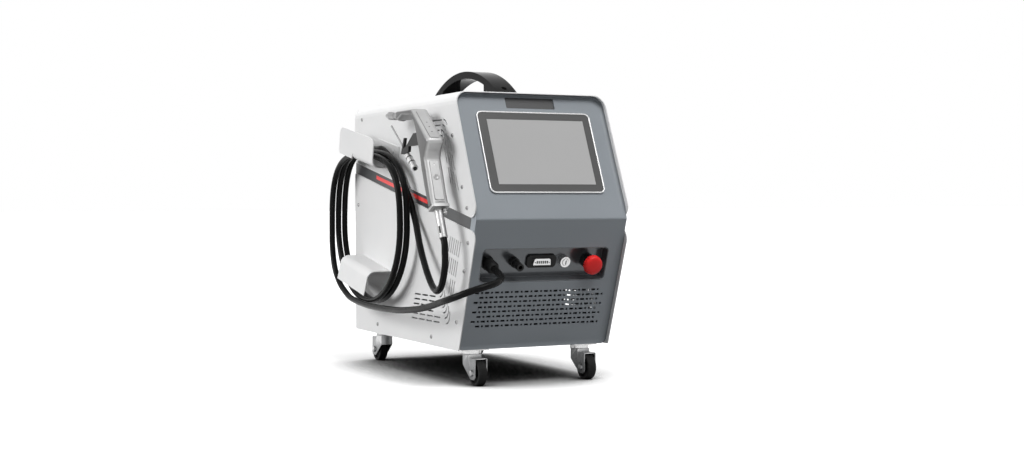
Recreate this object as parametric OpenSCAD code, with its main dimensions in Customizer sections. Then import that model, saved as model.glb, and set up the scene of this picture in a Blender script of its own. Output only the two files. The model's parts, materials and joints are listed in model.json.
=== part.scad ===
/* [Body] */
// Width over the side covers
body_w = 330; // [310:1:360]
// Height of the covers
body_h = 500; // [485:1:530]
// Depth from the front ridge to the rear edge of the covers
body_d = 660; // [645:1:720]
// Height of the front ridge above the underside
ridge_h = 253; // [243:1:263]
// Set-back of the top front edge behind the ridge
top_back = 108; // [95:1:120]
// Set-back of the bottom front edge behind the ridge
low_back = 91; // [80:1:102]
// Thickness of the outer covers
cover_t = 2; // [1.5:0.5:3]
// Thickness of the inner sheets
sheet_t = 2; // [1.5:0.5:2.5]
// Radius of the long top edges
edge_r = 26; // [18:1:32]
// Recess of the front panel behind the cover edges
panel_rec = 12; // [10:1:15]
// Depth of the dark frame round the front panel
frame_d = 32; // [26:1:40]
// Inner radius of the bend along the front ridge
bend_r = 4; // [2:0.5:6]
// Height of the band's upper edge at the ridge
band_z = 249.8; // [240:0.1:256]
// Height of the dark gap between the covers
band_gap = 24; // [18:1:30]
// Rise of the band toward the rear, in degrees
band_a = 10.85; // [8:0.05:12]
// Radius of the cover tips beside the band
tip_r = 19; // [10:1:24]

/* [Screen] */
// Width of the screen frame
screen_w = 250; // [230:1:270]
// Height of the screen frame along the slope
screen_l = 174; // [150:1:180]
// Distance of the frame's lower edge above the ridge
screen_s = 58; // [50:1:64]
// Width of the lit display
display_w = 211; // [190:1:215]
// Height of the lit display
display_l = 138; // [120:1:142]
// Width of the blank badge plate
badge_w = 107; // [80:1:120]
// Height of the blank badge plate
badge_l = 24; // [16:1:28]

/* [Connector bay] */
// Distance of the bay's sides from the sides of the body
bay_margin = 29.5; // [25:0.5:35]
// Height of the bay along the slope
bay_l = 66; // [60:1:72]
// Depth of the bay behind the panel
bay_deep = 22; // [18:1:26]
// Distance of the bay's middle below the ridge
bay_s = 99; // [94:1:104]
// Diameter of the stop button's cap
stop_d = 39; // [34:1:42]
// Diameter of the key switch face
key_d = 22; // [18:1:24]

/* [Castors] */
// Height of a castor
castor_h = 70; // [66:1:76]
// Diameter of a castor wheel
wheel_d = 50; // [46:1:54]
// Width of a castor tyre
wheel_w = 18; // [14:1:20]
// Distance of the axle behind the swivel axis
trail = 30; // [26:1:34]
// Diameter of an axle
axle_d = 8; // [6:1:9]
// Distance of the swivel axes from the sides of the body
castor_side = 45; // [40:1:60]
// Set-back of the front swivel axes behind the ridge
castor_front = 130; // [124:1:140]
// Distance of the rear swivel axes from the rear edge
castor_rear = 65; // [56:1:80]

/* [Handle] */
// Length of the handle over its feet
handle_l = 363; // [330:1:390]
// Height of the handle above the cover
handle_h = 63; // [56:1:70]
// Width of the handle strap
handle_w = 45; // [38:1:52]
// Length of one foot
foot_l = 76; // [66:1:84]
// Thickness of the handle at its top
strap_t = 15; // [12:1:17]
// Set-back of the handle's middle behind the ridge
handle_y = 384; // [370:1:400]

/* [Hose hooks] */
// Reach of the hooks from the cover
hook_reach = 59.5; // [56:0.5:64]
// Thickness of the hook sheet
hook_t = 2; // [1.5:0.5:2.5]
// Height of the upper hook's lip
lip_h = 59; // [50:1:64]
// Length of the upper hook's lip
lip_l = 208; // [190:1:220]
// Length of the upper hook's shelf
shelf_l = 124; // [110:1:130]
// Rise of the hooks toward the rear, in degrees
hook_a = 10.2; // [8:0.1:12]
// Length of the lower hook
low_hook_l = 168; // [150:1:180]

/* [Hose] */
// Outer diameter of the hose
hose_d = 13; // [11:0.5:13.5]
// Half the width of the hose coil
coil_a = 197; // [190:1:200]
// Half the height of the coil's lower half
coil_b = 167; // [162:1:170]
// Step of the coil from turn to turn
coil_step = 15; // [14.5:0.1:15.5]

/* [Gun] */
// Height of the gun's body
gun_h = 193; // [185:1:200]
// Thickness of the gun's body
gun_w = 36; // [32:1:38]
// Width of the bevels along the gun's edges
gun_bevel = 4; // [2:0.5:5]
// Diameter of the gun's nozzle
nozzle_d = 16.5; // [14:0.5:18]
// Diameter of the gun's push button
button_d = 12; // [9:0.5:14]

/* [Rear] */
// Side of a fan
fan_w = 120; // [110:1:124]
// Depth of a fan
fan_t = 25; // [20:1:32]
// Bore of the gas inlet
gas_bore = 8; // [6:0.5:9]

/* [Hidden] */
$fn = 48;
// Overrun of every cut
over = 1;
// Clearance between pieces that move past each other
gap = 0.3;
// Radial clearance of a running shaft
run_fit = 0.05;

half = body_w / 2;
up_a = atan2(top_back, body_h - ridge_h);
low_a = atan2(low_back, ridge_h);
inner_half = half - cover_t;
track = body_w - 2 * castor_side;
bay_w = body_w - 2 * bay_margin;
core_half = inner_half - sheet_t;
screw_t = 1.5;
guard_t = 6;
inlet_l = 20;
shift_x = (hook_reach - screw_t) / 2;
shift_y = (body_d + inlet_l) / 2;

// Points of a line at depth d behind the front edges, from height z0 to z1
function low_y(d, z) = (d - sin(low_a) * (z - ridge_h)) / cos(low_a);
function up_y(d, z) = (d + sin(up_a) * (z - ridge_h)) / cos(up_a);
function bend_z(d) = ridge_h + d * (1 / cos(low_a) - 1 / cos(up_a)) / (tan(up_a) + tan(low_a));
function front_line(d, z0, z1) =
    [[low_y(d, z0), z0], [up_y(d, bend_z(d)), bend_z(d)], [up_y(d, z1), z1]];
function back_to_front(list) = [for (i = [len(list) - 1:-1:0]) list[i]];
// A sheet of thickness t behind the front edges, bent with the radii r0 outside and r1 inside
function bent_sheet(d, t, r0, r1) = rounded(concat(front_line(d, -over, body_h + over),
    back_to_front(front_line(d + t, -over, body_h + over))), [0, r0, 0, 0, r1, 0], 4);
function band_top(y) = band_z + tan(band_a) * y;
function band_low(y) = band_top(y) - band_gap;

// A polygon with its corners rounded by the radii r
function unit(v) = v / norm(v);
function turn(a) = a > 180 ? a - 360 : (a < -180 ? a + 360 : a);
function corner(a, b, c, r, n) =
    let (u = unit(a - b), v = unit(c - b), h = acos(u * v) / 2, m = b + unit(u + v) * r / sin(h),
        p = b + u * r / tan(h) - m, q = b + v * r / tan(h) - m, s = atan2(p.y, p.x),
        w = turn(atan2(q.y, q.x) - s))
    [for (i = [0:n]) m + r * [cos(s + w * i / n), sin(s + w * i / n)]];
function rounded(p, r, n = 6) = let (k = len(p)) [for (i = [0:k - 1])
    each (r[i] == 0 ? [p[i]] : corner(p[(i + k - 1) % k], p[i], p[(i + 1) % k], r[i], n))];
function box_points(w, l) = [[-w / 2, -l / 2], [w / 2, -l / 2], [w / 2, l / 2], [-w / 2, l / 2]];
function round_box(w, l, r) = rounded(box_points(w, l), [r, r, r, r]);

// A polygon whose edges are drawn in by the depths d, its points going round to the left
function left_of(v) = [-v.y, v.x];
function inset(p, d) = let (k = len(p)) [for (i = [0:k - 1])
    let (m = left_of(unit(p[i] - p[(i + k - 1) % k])), n = left_of(unit(p[(i + 1) % k] - p[i])),
        a = d[(i + k - 1) % k], b = d[i], c = m * n)
    p[i] + ((a - b * c) * m + (b - a * c) * n) / (1 - c * c)];

// A tube through the points of a route
function tangent(p, i) = unit(p[min(i + 1, len(p) - 1)] - p[max(i - 1, 0)]);
function side_of(t) = unit(cross(t, abs(t.x) < 0.9 ? [1, 0, 0] : [0, 0, 1]));
function ring_points(c, t, s, r, n) = let (u = unit(s - (s * t) * t), v = cross(t, u))
    [for (k = [0:n - 1]) c + r * (cos(360 * k / n) * u + sin(360 * k / n) * v)];
function carried(p, i, s) = let (t = tangent(p, i), u = unit(s - (s * t) * t))
    i == len(p) - 1 ? [u] : concat([u], carried(p, i + 1, u));
module tube(route, r, n) {
    sides = carried(route, 0, side_of(tangent(route, 0)));
    k = len(route);
    points = [for (i = [0:k - 1]) each ring_points(route[i], tangent(route, i), sides[i], r, n)];
    faces = concat([[for (j = [0:n - 1]) j]], [[for (j = [n - 1:-1:0]) (k - 1) * n + j]],
        [for (i = [0:k - 2], j = [0:n - 1]) let (a = i * n + j, b = i * n + (j + 1) % n) [a, a + n, b]],
        [for (i = [0:k - 2], j = [0:n - 1]) let (a = i * n + j, b = i * n + (j + 1) % n)
            [b, a + n, b + n]]);
    polyhedron(points = points, faces = faces);
}

// Extrusions along X and along Y, and frames on the two front faces
module along_x(x0, x1) {
    translate([x0, 0, 0]) rotate([90, 0, 90]) linear_extrude(x1 - x0) children();
}
module along_y(y0, y1) {
    translate([0, y1, 0]) rotate([90, 0, 0]) linear_extrude(y1 - y0) children();
}
module on_upper(s, d) {
    translate([0, up_y(d, ridge_h), ridge_h]) rotate([90 - up_a, 0, 0])
        translate([0, s - d * tan(up_a), 0]) children();
}
module on_lower(s, d) {
    translate([0, low_y(d, ridge_h), ridge_h]) rotate([90 + low_a, 0, 0])
        translate([0, d * tan(low_a) - s, 0]) children();
}
module placed() {
    translate([shift_x, -shift_y, castor_h]) children();
}

// The covers
tip_z = (band_z - tan(band_a) * tan(up_a) * ridge_h) / (1 - tan(band_a) * tan(up_a));
low_tip_z = (band_z - band_gap + tan(band_a) * tan(low_a) * ridge_h)
    / (1 + tan(band_a) * tan(low_a));
foot_r = 5;

function arch(w, h, r) = rounded([[-w, -over], [w, -over], [w, h], [-w, h]], [0, 0, r, r]);

vent_w = 3;
dash_l = 30;
dash_gap = 8;
vent_pitch = 10;
vent_offset = 63;
vent_rows = 6;
vent_low_z = 47;
vent_reach = 252;
vent_r = 20;
up_vent_top = 448;
up_vent_low = 308;
up_vent_count = 4;
up_vent_rows = 3;
up_vent_reach = 134;

module across(points) {
    along_x(-half - over, half + over) polygon(points);
}
// A dash of a column that runs along the front edge, and one of a row
module low_dash(o, z0, z1) {
    across([[low_y(0, z0) + o, z0], [low_y(0, z0) + o + vent_w, z0], [low_y(0, z1) + o + vent_w, z1],
        [low_y(0, z1) + o, z1]]);
}
module up_dash(o, z0, z1) {
    across([[up_y(0, z0) + o, z0], [up_y(0, z0) + o + vent_w, z0], [up_y(0, z1) + o + vent_w, z1],
        [up_y(0, z1) + o, z1]]);
}
module row_dash(z, y0, y1) {
    across([[y0, z], [y1, z], [y1, z + vent_w], [y0, z + vent_w]]);
}
module vent_bend(y, z, r, a0, a1) {
    n = 5;
    across(concat([for (i = [0:n]) [y, z] + r * [cos(a0 + (a1 - a0) * i / n), sin(a0 + (a1 - a0) * i / n)]],
        [for (i = [n:-1:0]) [y, z] + (r - vent_w)
            * [cos(a0 + (a1 - a0) * i / n), sin(a0 + (a1 - a0) * i / n)]]));
}
module lower_vents() {
    pitch = dash_l + dash_gap;
    for (k = [0:vent_rows - 1]) {
        o = vent_offset + vent_pitch * k;
        z = vent_low_z + vent_pitch * k;
        top = band_low(low_y(0, low_tip_z) + o) - vent_pitch * 3;
        turn_z = z + vent_r;
        edge = low_y(0, turn_z) + o;
        vent_bend(edge + vent_r, turn_z, vent_r, 180 - low_a, 270);
        for (j = [0:floor((top - turn_z - dash_gap) / pitch) - 1])
            low_dash(o, top - dash_l - j * pitch, top - j * pitch);
        last = low_y(0, z) + vent_reach;
        for (j = [0:floor((last - edge - vent_r - dash_gap) / pitch) - 1])
            row_dash(z, last - dash_l - j * pitch, last - j * pitch);
    }
}
module upper_vents() {
    pitch = dash_l + dash_gap;
    for (k = [0:up_vent_count - 1]) {
        o = vent_offset + vent_pitch * k;
        z = up_vent_top - vent_pitch * k;
        turn_z = z - vent_r;
        edge = up_y(0, turn_z) + o;
        vent_bend(edge + vent_r, turn_z, vent_r, 180 - up_a, 90);
        for (j = [0:up_vent_rows - 1])
            up_dash(o, up_vent_low + vent_pitch / 2 * k + j * pitch,
                up_vent_low + vent_pitch / 2 * k + j * pitch + dash_l);
        row_dash(z - vent_w, edge + vent_r + dash_gap, up_y(0, z) + up_vent_reach);
    }
}

module upper_cover() color("whitesmoke") difference() {
    intersection() {
        along_y(-tip_r, body_d) difference() {
            polygon(arch(half, body_h, edge_r));
            polygon(arch(inner_half, body_h - cover_t, edge_r - cover_t));
        }
        along_x(-half, half) polygon(rounded([[body_d, body_h], [up_y(0, body_h), body_h],
            [up_y(0, tip_z), tip_z], [body_d, band_top(body_d)]], [0, foot_r, tip_r, foot_r]));
    }
    upper_vents();
}

module lower_side(x0, x1) color("whitesmoke") difference() {
    along_x(x0, x1) polygon(rounded([[low_back, 0], [low_y(0, low_tip_z), low_tip_z],
        [body_d, band_low(body_d)], [body_d, 0]], [foot_r, tip_r, foot_r, foot_r]));
    lower_vents();
}
module lower_side_left() lower_side(-half, -inner_half);
module lower_side_right() lower_side(inner_half, half);

// The chassis inside the covers
window_z_share = 0.13;
window_h_share = 0.26;
window_y_share = 0.2;
window_l_share = 0.34;
up_window_z_share = 0.66;
up_window_h_share = 0.16;
shelf_z = 249;
shelf_y0 = 150;
shelf_y1 = 620;
side_top = body_h - edge_r - cover_t;
module chassis() color("dimgray") {
    for (x = [-inner_half, core_half]) along_x(x, x + sheet_t) difference() {
        polygon(concat(front_line(frame_d, 0, side_top), [[body_d - sheet_t, side_top],
            [body_d - sheet_t, 0]]));
        translate([body_d * window_y_share, body_h * window_z_share])
            square([body_d * window_l_share, body_h * window_h_share]);
        translate([body_d * window_y_share, body_h * up_window_z_share])
            square([body_d * window_l_share, body_h * up_window_h_share]);
    }
    translate([-core_half, shelf_y0, shelf_z]) cube([2 * core_half, shelf_y1 - shelf_y0, sheet_t]);
}

module base_plate() color("gray") translate([-core_half, low_y(frame_d, 0), 0])
    cube([2 * core_half, body_d - sheet_t - low_y(frame_d, 0), sheet_t]);

module front_frame() color([0.2, 0.21, 0.22]) intersection() {
    along_y(-over, low_y(frame_d, 0) + top_back) difference() {
        polygon(rounded([[-inner_half, 0], [inner_half, 0], [inner_half, body_h - cover_t],
            [-inner_half, body_h - cover_t]], [0, 0, edge_r - cover_t, edge_r - cover_t]));
        polygon(rounded([[-core_half, sheet_t], [core_half, sheet_t],
            [core_half, body_h - cover_t - sheet_t], [-core_half, body_h - cover_t - sheet_t]],
            [0, 0, edge_r - cover_t - sheet_t, edge_r - cover_t - sheet_t]));
    }
    along_x(-half, half) polygon(bent_sheet(screw_t, frame_d - screw_t, bend_r, 0));
}

// The bent front panel with its openings
screen_r = 12;
bay_r = 8;
wall_t = 2;
panel_vent_l = 9;
panel_vent_s = 4.5;
panel_vent_gap = 3.8;
panel_vent_h = 4.6;
panel_vent_rows = 8;
panel_vent_pitch = 10;
panel_vent_s0 = 157;
panel_vent_margin = 15.5;
module panel_vents() {
    pair = panel_vent_l + panel_vent_s + 2 * panel_vent_gap;
    count = floor(2 * (core_half - panel_vent_margin) / pair);
    for (r = [0:panel_vent_rows - 1], k = [0:count - 1]) {
        x = (k - count / 2) * pair + (r % 2) * pair / 2 - pair / 4;
        translate([x, -r * panel_vent_pitch, -over])
            cube([panel_vent_l, panel_vent_h, sheet_t + 2 * over]);
        translate([x + panel_vent_l + panel_vent_gap, -r * panel_vent_pitch, -over])
            cube([panel_vent_s, panel_vent_h, sheet_t + 2 * over]);
    }
}
module front_panel() color([0.42, 0.44, 0.47]) difference() {
    intersection() {
        along_y(-over, low_y(frame_d, 0) + top_back) polygon(rounded([[-core_half, sheet_t],
            [core_half, sheet_t], [core_half, body_h - cover_t - sheet_t],
            [-core_half, body_h - cover_t - sheet_t]],
            [0, 0, edge_r - cover_t - sheet_t, edge_r - cover_t - sheet_t]));
        along_x(-half, half) polygon(bent_sheet(panel_rec, sheet_t, bend_r + sheet_t, bend_r));
    }
    on_upper(screen_s + screen_l / 2, panel_rec + sheet_t) translate([0, 0, -over])
        linear_extrude(sheet_t + 2 * over) square([screen_w - 2 * rim_w, screen_l - 2 * rim_w], true);
    on_upper(badge_s, panel_rec + sheet_t) translate([0, 0, -over])
        linear_extrude(sheet_t + 2 * over) polygon(round_box(badge_w, badge_l, badge_r));
    on_lower(bay_s, panel_rec + sheet_t) translate([bay_x, 0, -over])
        linear_extrude(sheet_t + 2 * over)
        polygon(round_box(bay_w + 2 * wall_t, bay_l + 2 * wall_t, bay_r + wall_t));
    on_lower(panel_vent_s0, panel_rec + sheet_t) panel_vents();
}

badge_s = 252.5;
badge_r = 3;
badge_rim = 4;
module badge_plate() color([0.13, 0.14, 0.15]) on_upper(badge_s, panel_rec + 2 * sheet_t)
    linear_extrude(sheet_t) polygon(round_box(badge_w + 2 * badge_rim, badge_l + 2 * badge_rim, badge_r));

module rear_panel() color("lightgray") difference() {
    along_y(body_d - sheet_t, body_d) polygon(rounded([[-inner_half, 0], [inner_half, 0],
        [inner_half, body_h - cover_t], [-inner_half, body_h - cover_t]],
        [0, 0, edge_r - cover_t, edge_r - cover_t]));
    for (x = [-fan_x, fan_x]) translate([x, body_d + over, fan_z]) rotate([90, 0, 0])
        cylinder(d = fan_w - 2 * fan_wall, h = sheet_t + 2 * over);
    translate([inlet_x, body_d + over, inlet_z]) rotate([90, 0, 0])
        cylinder(d = inlet_d, h = sheet_t + 2 * over);
    translate([gas_x, body_d + over, inlet_z]) rotate([90, 0, 0])
        cylinder(d = gas_d, h = sheet_t + 2 * over);
    translate([breaker_x - breaker_w / 2, body_d - sheet_t - over, inlet_z - breaker_h / 2])
        cube([breaker_w, sheet_t + 2 * over, breaker_h]);
}

// Screws of the covers and the red stripes in the band
screw_d = 8;
front_screw_shares = [[1.076, 0.828], [0.66, 0.628], [0.458, 0.548], [0.421, 0.416], [0.593, 0.308],
    [0.929, 0.11], [2.071, 0.034]];
rear_screw_shares = [[0.428, 0.94], [0.244, 0.79], [1.283, 0.04], [0.202, 0.56]];
screw_places = concat([for (p = front_screw_shares) [p.x * top_back, p.y * body_h]],
    [for (p = rear_screw_shares) [body_d - p.x * top_back, p.y * body_h]]);
module cover_screws() color("silver") for (s = [-1, 1], p = screw_places)
    translate([s * half, p.x, p.y]) rotate([0, s * 90, 0])
    cylinder(d1 = screw_d, d2 = screw_d / 2, h = screw_t);

stripe_y0 = 245;
stripe_y1 = 530;
stripe_h = 8;
stripe_t = 0.5;
stripe_drop = 7;
module red_stripes() color([1, 0.23, 0.23]) for (x = [-inner_half - stripe_t, inner_half])
    along_x(x, x + stripe_t) polygon([[stripe_y0, band_top(stripe_y0) - stripe_drop - stripe_h],
        [stripe_y1, band_top(stripe_y1) - stripe_drop - stripe_h],
        [stripe_y1, band_top(stripe_y1) - stripe_drop], [stripe_y0, band_top(stripe_y0) - stripe_drop]]);

// The screen
rim_w = 6;
rim_t = 4;
rim_lip = 3;
glass_t = 2.5;
screen_x = 1.5;
display_x = 3;
display_s = 145.5;
display_t = 0.5;
module screen_frame() color("silver") on_upper(screen_s + screen_l / 2, panel_rec)
    translate([screen_x, 0, 0]) linear_extrude(rim_t) difference() {
        polygon(round_box(screen_w, screen_l, screen_r));
        polygon(round_box(screen_w - 2 * rim_lip, screen_l - 2 * rim_lip, screen_r - rim_lip));
    }
module screen_glass() color([0.3, 0.3, 0.31]) difference() {
    on_upper(screen_s + screen_l / 2, panel_rec) translate([screen_x, 0, 0]) linear_extrude(glass_t)
        polygon(round_box(screen_w - 2 * rim_lip, screen_l - 2 * rim_lip, screen_r - rim_lip));
    on_upper(display_s, panel_rec - glass_t + display_t) translate([display_x, 0, 0])
        linear_extrude(glass_t) square([display_w, display_l], true);
}
module display_panel() color([0.72, 0.72, 0.72]) on_upper(display_s, panel_rec - glass_t + display_t)
    translate([display_x, 0, 0]) linear_extrude(display_t) square([display_w, display_l], true);

// The connector bay and what it holds
bay_x = -2;
gland_nut_d = 28;
ground_nut_d = 20;
signal_w = 64;
floor_rec = panel_rec + bay_deep;
module on_floor(x) on_lower(bay_s, floor_rec) translate([x, 0, 0]) children();
module connector_bay() color([0.25, 0.26, 0.28]) on_lower(bay_s, floor_rec) translate([bay_x, 0, -wall_t])
    difference() {
        linear_extrude(bay_deep + wall_t)
            polygon(round_box(bay_w + 2 * wall_t - gap, bay_l + 2 * wall_t - gap, bay_r + wall_t));
        translate([0, 0, wall_t]) linear_extrude(bay_deep + over)
            polygon(round_box(bay_w, bay_l, bay_r));
    }

// Free width between the bay's walls and what it holds, shared out from left to right
bay_gap_shares = [0.056, 0.337, 0.184, 0.061, 0.219];
bay_free = bay_w - gland_nut_d - ground_nut_d - signal_w - key_d - stop_d;
function bay_room(i) = bay_free * bay_gap_shares[i];
gland_x = bay_x - bay_w / 2 + bay_room(0) + gland_nut_d / 2;
ground_x = gland_x + (gland_nut_d + ground_nut_d) / 2 + bay_room(1);
signal_x = ground_x + (ground_nut_d + signal_w) / 2 + bay_room(2);
key_x = signal_x + (signal_w + key_d) / 2 + bay_room(3);
stop_x = key_x + (key_d + stop_d) / 2 + bay_room(4);

gland_cap_d = 25;
gland_base_l = 12;
gland_l = 39;
gland_tip_d = 18;
module hose_gland() color([0.12, 0.12, 0.13]) on_floor(gland_x) {
    cylinder(d = gland_nut_d, h = gland_base_l, $fn = 6);
    translate([0, 0, gland_base_l]) cylinder(d = gland_cap_d, h = gland_l / 2);
    translate([0, 0, gland_base_l + gland_l / 2])
        cylinder(d1 = gland_cap_d, d2 = gland_tip_d, h = gland_l / 2 - gland_base_l);
}
ground_d = 15.5;
ground_l = 35;
module ground_socket() color([0.14, 0.14, 0.15]) on_floor(ground_x) difference() {
    union() {
        cylinder(d = ground_nut_d, h = ground_l / 3);
        cylinder(d = ground_d, h = ground_l);
    }
    translate([0, 0, ground_l * 2 / 3]) cylinder(d = ground_d / 2, h = ground_l);
}
signal_l = 26;
signal_t = 5;
shell_w = 39;
shell_l = 14;
shell_t = 6;
pin_d = 1.4;
pin_pitch = 2.8;
pin_count = 12;
module signal_socket() color([0.1, 0.1, 0.11]) on_floor(signal_x) difference() {
    linear_extrude(signal_t) polygon(rounded(box_points(signal_w, signal_l),
        [signal_t, signal_t, signal_t, signal_t], 1));
    translate([0, 0, signal_t / 2]) linear_extrude(signal_t) square([shell_w, shell_l], true);
}
module signal_shell() color("silver") on_floor(signal_x) translate([0, 0, signal_t / 2]) {
    linear_extrude(shell_t) difference() {
        square([shell_w, shell_l], true);
        square([shell_w - wall_t, shell_l - wall_t], true);
    }
    linear_extrude(screw_t) square([shell_w - wall_t / 2, shell_l - wall_t / 2], true);
    for (k = [0:pin_count - 1], s = [-1, 1])
        translate([(k - (pin_count - 1) / 2) * pin_pitch, s * pin_pitch, 0])
            cylinder(d = pin_d, h = shell_t - screw_t / 2, $fn = 8);
}
key_l = 12;
barrel_d = 14;
barrel_l = 14;
slot_w = 2;
slot_l = 8;
slot_deep = 5;
module key_switch() color("silver") on_floor(key_x) difference() {
    cylinder(d = key_d, h = key_l);
    translate([0, 0, over]) cylinder(d = barrel_d + 2 * run_fit, h = key_l);
}
module key_barrel() color("gainsboro") on_floor(key_x) difference() {
    translate([0, 0, over + gap]) cylinder(d = barrel_d, h = barrel_l - over - gap);
    translate([-slot_w / 2, -slot_l / 2, barrel_l - slot_deep]) cube([slot_w, slot_l, barrel_l]);
}
stop_h = 38;
stop_cap_t = 13;
stop_collar_d = 29;
stop_collar_h = 13;
stop_stem_d = 16;
stop_travel = 5;
stop_hub_d = 11;
shoulder_share = [0.44, 0.8];
crown_share = 0.3;
module stop_collar() color([0.2, 0.2, 0.21]) on_floor(stop_x) difference() {
    cylinder(d = stop_collar_d, h = stop_collar_h);
    translate([0, 0, over]) cylinder(d = stop_stem_d + 2 * run_fit, h = stop_collar_h);
}
module stop_stem() color("gray") on_floor(stop_x) {
    hub_z = stop_h - stop_cap_t - gap;
    translate([0, 0, over + stop_travel + gap])
        cylinder(d = stop_stem_d, h = hub_z - over - stop_travel - gap);
    translate([0, 0, hub_z - over]) cylinder(d = stop_hub_d, h = stop_cap_t / 2 + over);
}
module stop_cap() color([0.91, 0.18, 0.16]) on_floor(stop_x) translate([0, 0, stop_h - stop_cap_t])
    difference() {
        rotate_extrude() polygon([[0, 0], [stop_d / 2 - over, 0], [stop_d / 2, stop_cap_t / 4],
            [stop_d / 2, stop_cap_t / 2], [stop_d * shoulder_share.x, stop_cap_t * shoulder_share.y],
            [stop_d * crown_share, stop_cap_t], [0, stop_cap_t]]);
        translate([0, 0, -over])
            cylinder(d = stop_hub_d + 2 * run_fit, h = stop_cap_t / 2 + over + gap);
    }

// The castors
castor_ys = [castor_front, body_d - castor_rear];
stem_d = 12;
race_d = 38;
plate_t = 2.5;
race_h = 7;
plate_w = 52;
crown_d = 36;
leg_t = 2;
hub_w = 22;
hub_d = 16;
axle_z = wheel_d / 2 - castor_h;
leg_x = hub_w / 2 + gap;
nut_t = 3;
nut_d = 13;
module castor_plates() color("silver") for (x = [-track / 2, track / 2], y = castor_ys)
    translate([x, y, 0]) difference() {
        union() {
            translate([0, 0, -plate_t]) linear_extrude(plate_t)
                polygon(round_box(plate_w, plate_w, leg_t));
            translate([0, 0, -plate_t - race_h]) cylinder(d = race_d, h = race_h);
        }
        translate([0, 0, -plate_t - race_h - over])
            cylinder(d = stem_d + 2 * run_fit, h = plate_t + race_h + 2 * over);
    }
crown_z = -plate_t - race_h - gap;
leg_out = leg_x + leg_t;
leg_r = 4;
leg_foot = 13;
skirt_h = 22;
skirt_y = sqrt(pow(crown_d / 2, 2) - pow(leg_out, 2));
crown_front = 16;
bridge_gap = 1.5;
bridge_z = min(crown_z, axle_z + wheel_d / 2 + bridge_gap + leg_t);
leg_front = trail + leg_foot + bridge_gap;
module fork_leg(x) along_x(x, x + leg_t) polygon(rounded([[-skirt_y, crown_z], [crown_front, crown_z],
    [crown_front + leg_t, bridge_z], [leg_front, bridge_z], [leg_front, axle_z - leg_foot * 2 / 3],
    [trail + leg_foot * 2 / 3, axle_z - leg_foot], [trail - leg_foot / 2, axle_z - leg_foot],
    [-skirt_y, crown_z - skirt_h]], [0, 0, 0, leg_r / 2, leg_r, leg_r, leg_r, leg_r]));
module castor_fork() color([0.62, 0.63, 0.64]) {
    for (x = [-leg_out, leg_x]) fork_leg(x);
    translate([0, 0, crown_z - leg_t]) cylinder(d = crown_d, h = leg_t);
    translate([-leg_out, 0, crown_z - leg_t]) cube([2 * leg_out, crown_front + leg_t, leg_t]);
    translate([-leg_out, crown_front, bridge_z - leg_t])
        cube([2 * leg_out, leg_t, crown_z - bridge_z + leg_t]);
    translate([-leg_out, crown_front, bridge_z - leg_t])
        cube([2 * leg_out, leg_front - crown_front - leg_r, leg_t]);
    translate([0, 0, crown_z - skirt_h]) linear_extrude(skirt_h) difference() {
        circle(d = crown_d);
        circle(d = crown_d - 2 * leg_t);
        translate([-crown_d, -skirt_y]) square(2 * crown_d);
    }
    translate([0, 0, crown_z - leg_t / 2])
        cylinder(d = stem_d, h = leg_t / 2 + gap + race_h + plate_t - over);
}
module castor_axle() color("silver") translate([0, trail, axle_z]) rotate([0, 90, 0]) {
    reach = leg_out + nut_t;
    translate([0, 0, -reach]) cylinder(d = axle_d, h = 2 * reach);
    for (z = [-reach, leg_out - leg_t / 2])
        translate([0, 0, z]) cylinder(d = nut_d, h = nut_t + leg_t / 2, $fn = 6);
}
tread_t = 5;
rim_x = 3;
module castor_wheel() color([0.13, 0.13, 0.14]) translate([0, trail, axle_z]) rotate([0, 90, 0])
    difference() {
        rotate_extrude() polygon([[0, -hub_w / 2], [hub_d / 2, -hub_w / 2], [hub_d / 2, -rim_x],
            [wheel_d / 2 - tread_t, -rim_x], [wheel_d / 2 - tread_t, -wheel_w / 2],
            [wheel_d / 2 - over, -wheel_w / 2], [wheel_d / 2, over - wheel_w / 2],
            [wheel_d / 2, wheel_w / 2 - over], [wheel_d / 2 - over, wheel_w / 2],
            [wheel_d / 2 - tread_t, wheel_w / 2], [wheel_d / 2 - tread_t, rim_x],
            [hub_d / 2, rim_x], [hub_d / 2, hub_w / 2], [0, hub_w / 2]]);
        translate([0, 0, -hub_w]) cylinder(d = axle_d + 2 * run_fit, h = 2 * hub_w);
    }
// Castors at the front trail forward and those at the rear trail backward
module at_castor(s, f) translate([s * track / 2, castor_ys[f], 0]) rotate([0, 0, f == 0 ? 180 : 0])
    children();
module castor_fork_front_left() at_castor(-1, 0) { castor_fork(); castor_axle(); }
module castor_fork_front_right() at_castor(1, 0) { castor_fork(); castor_axle(); }
module castor_fork_rear_left() at_castor(-1, 1) { castor_fork(); castor_axle(); }
module castor_fork_rear_right() at_castor(1, 1) { castor_fork(); castor_axle(); }
module castor_wheel_front_left() at_castor(-1, 0) castor_wheel();
module castor_wheel_front_right() at_castor(1, 0) castor_wheel();
module castor_wheel_rear_left() at_castor(-1, 1) castor_wheel();
module castor_wheel_rear_right() at_castor(1, 1) castor_wheel();

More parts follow.
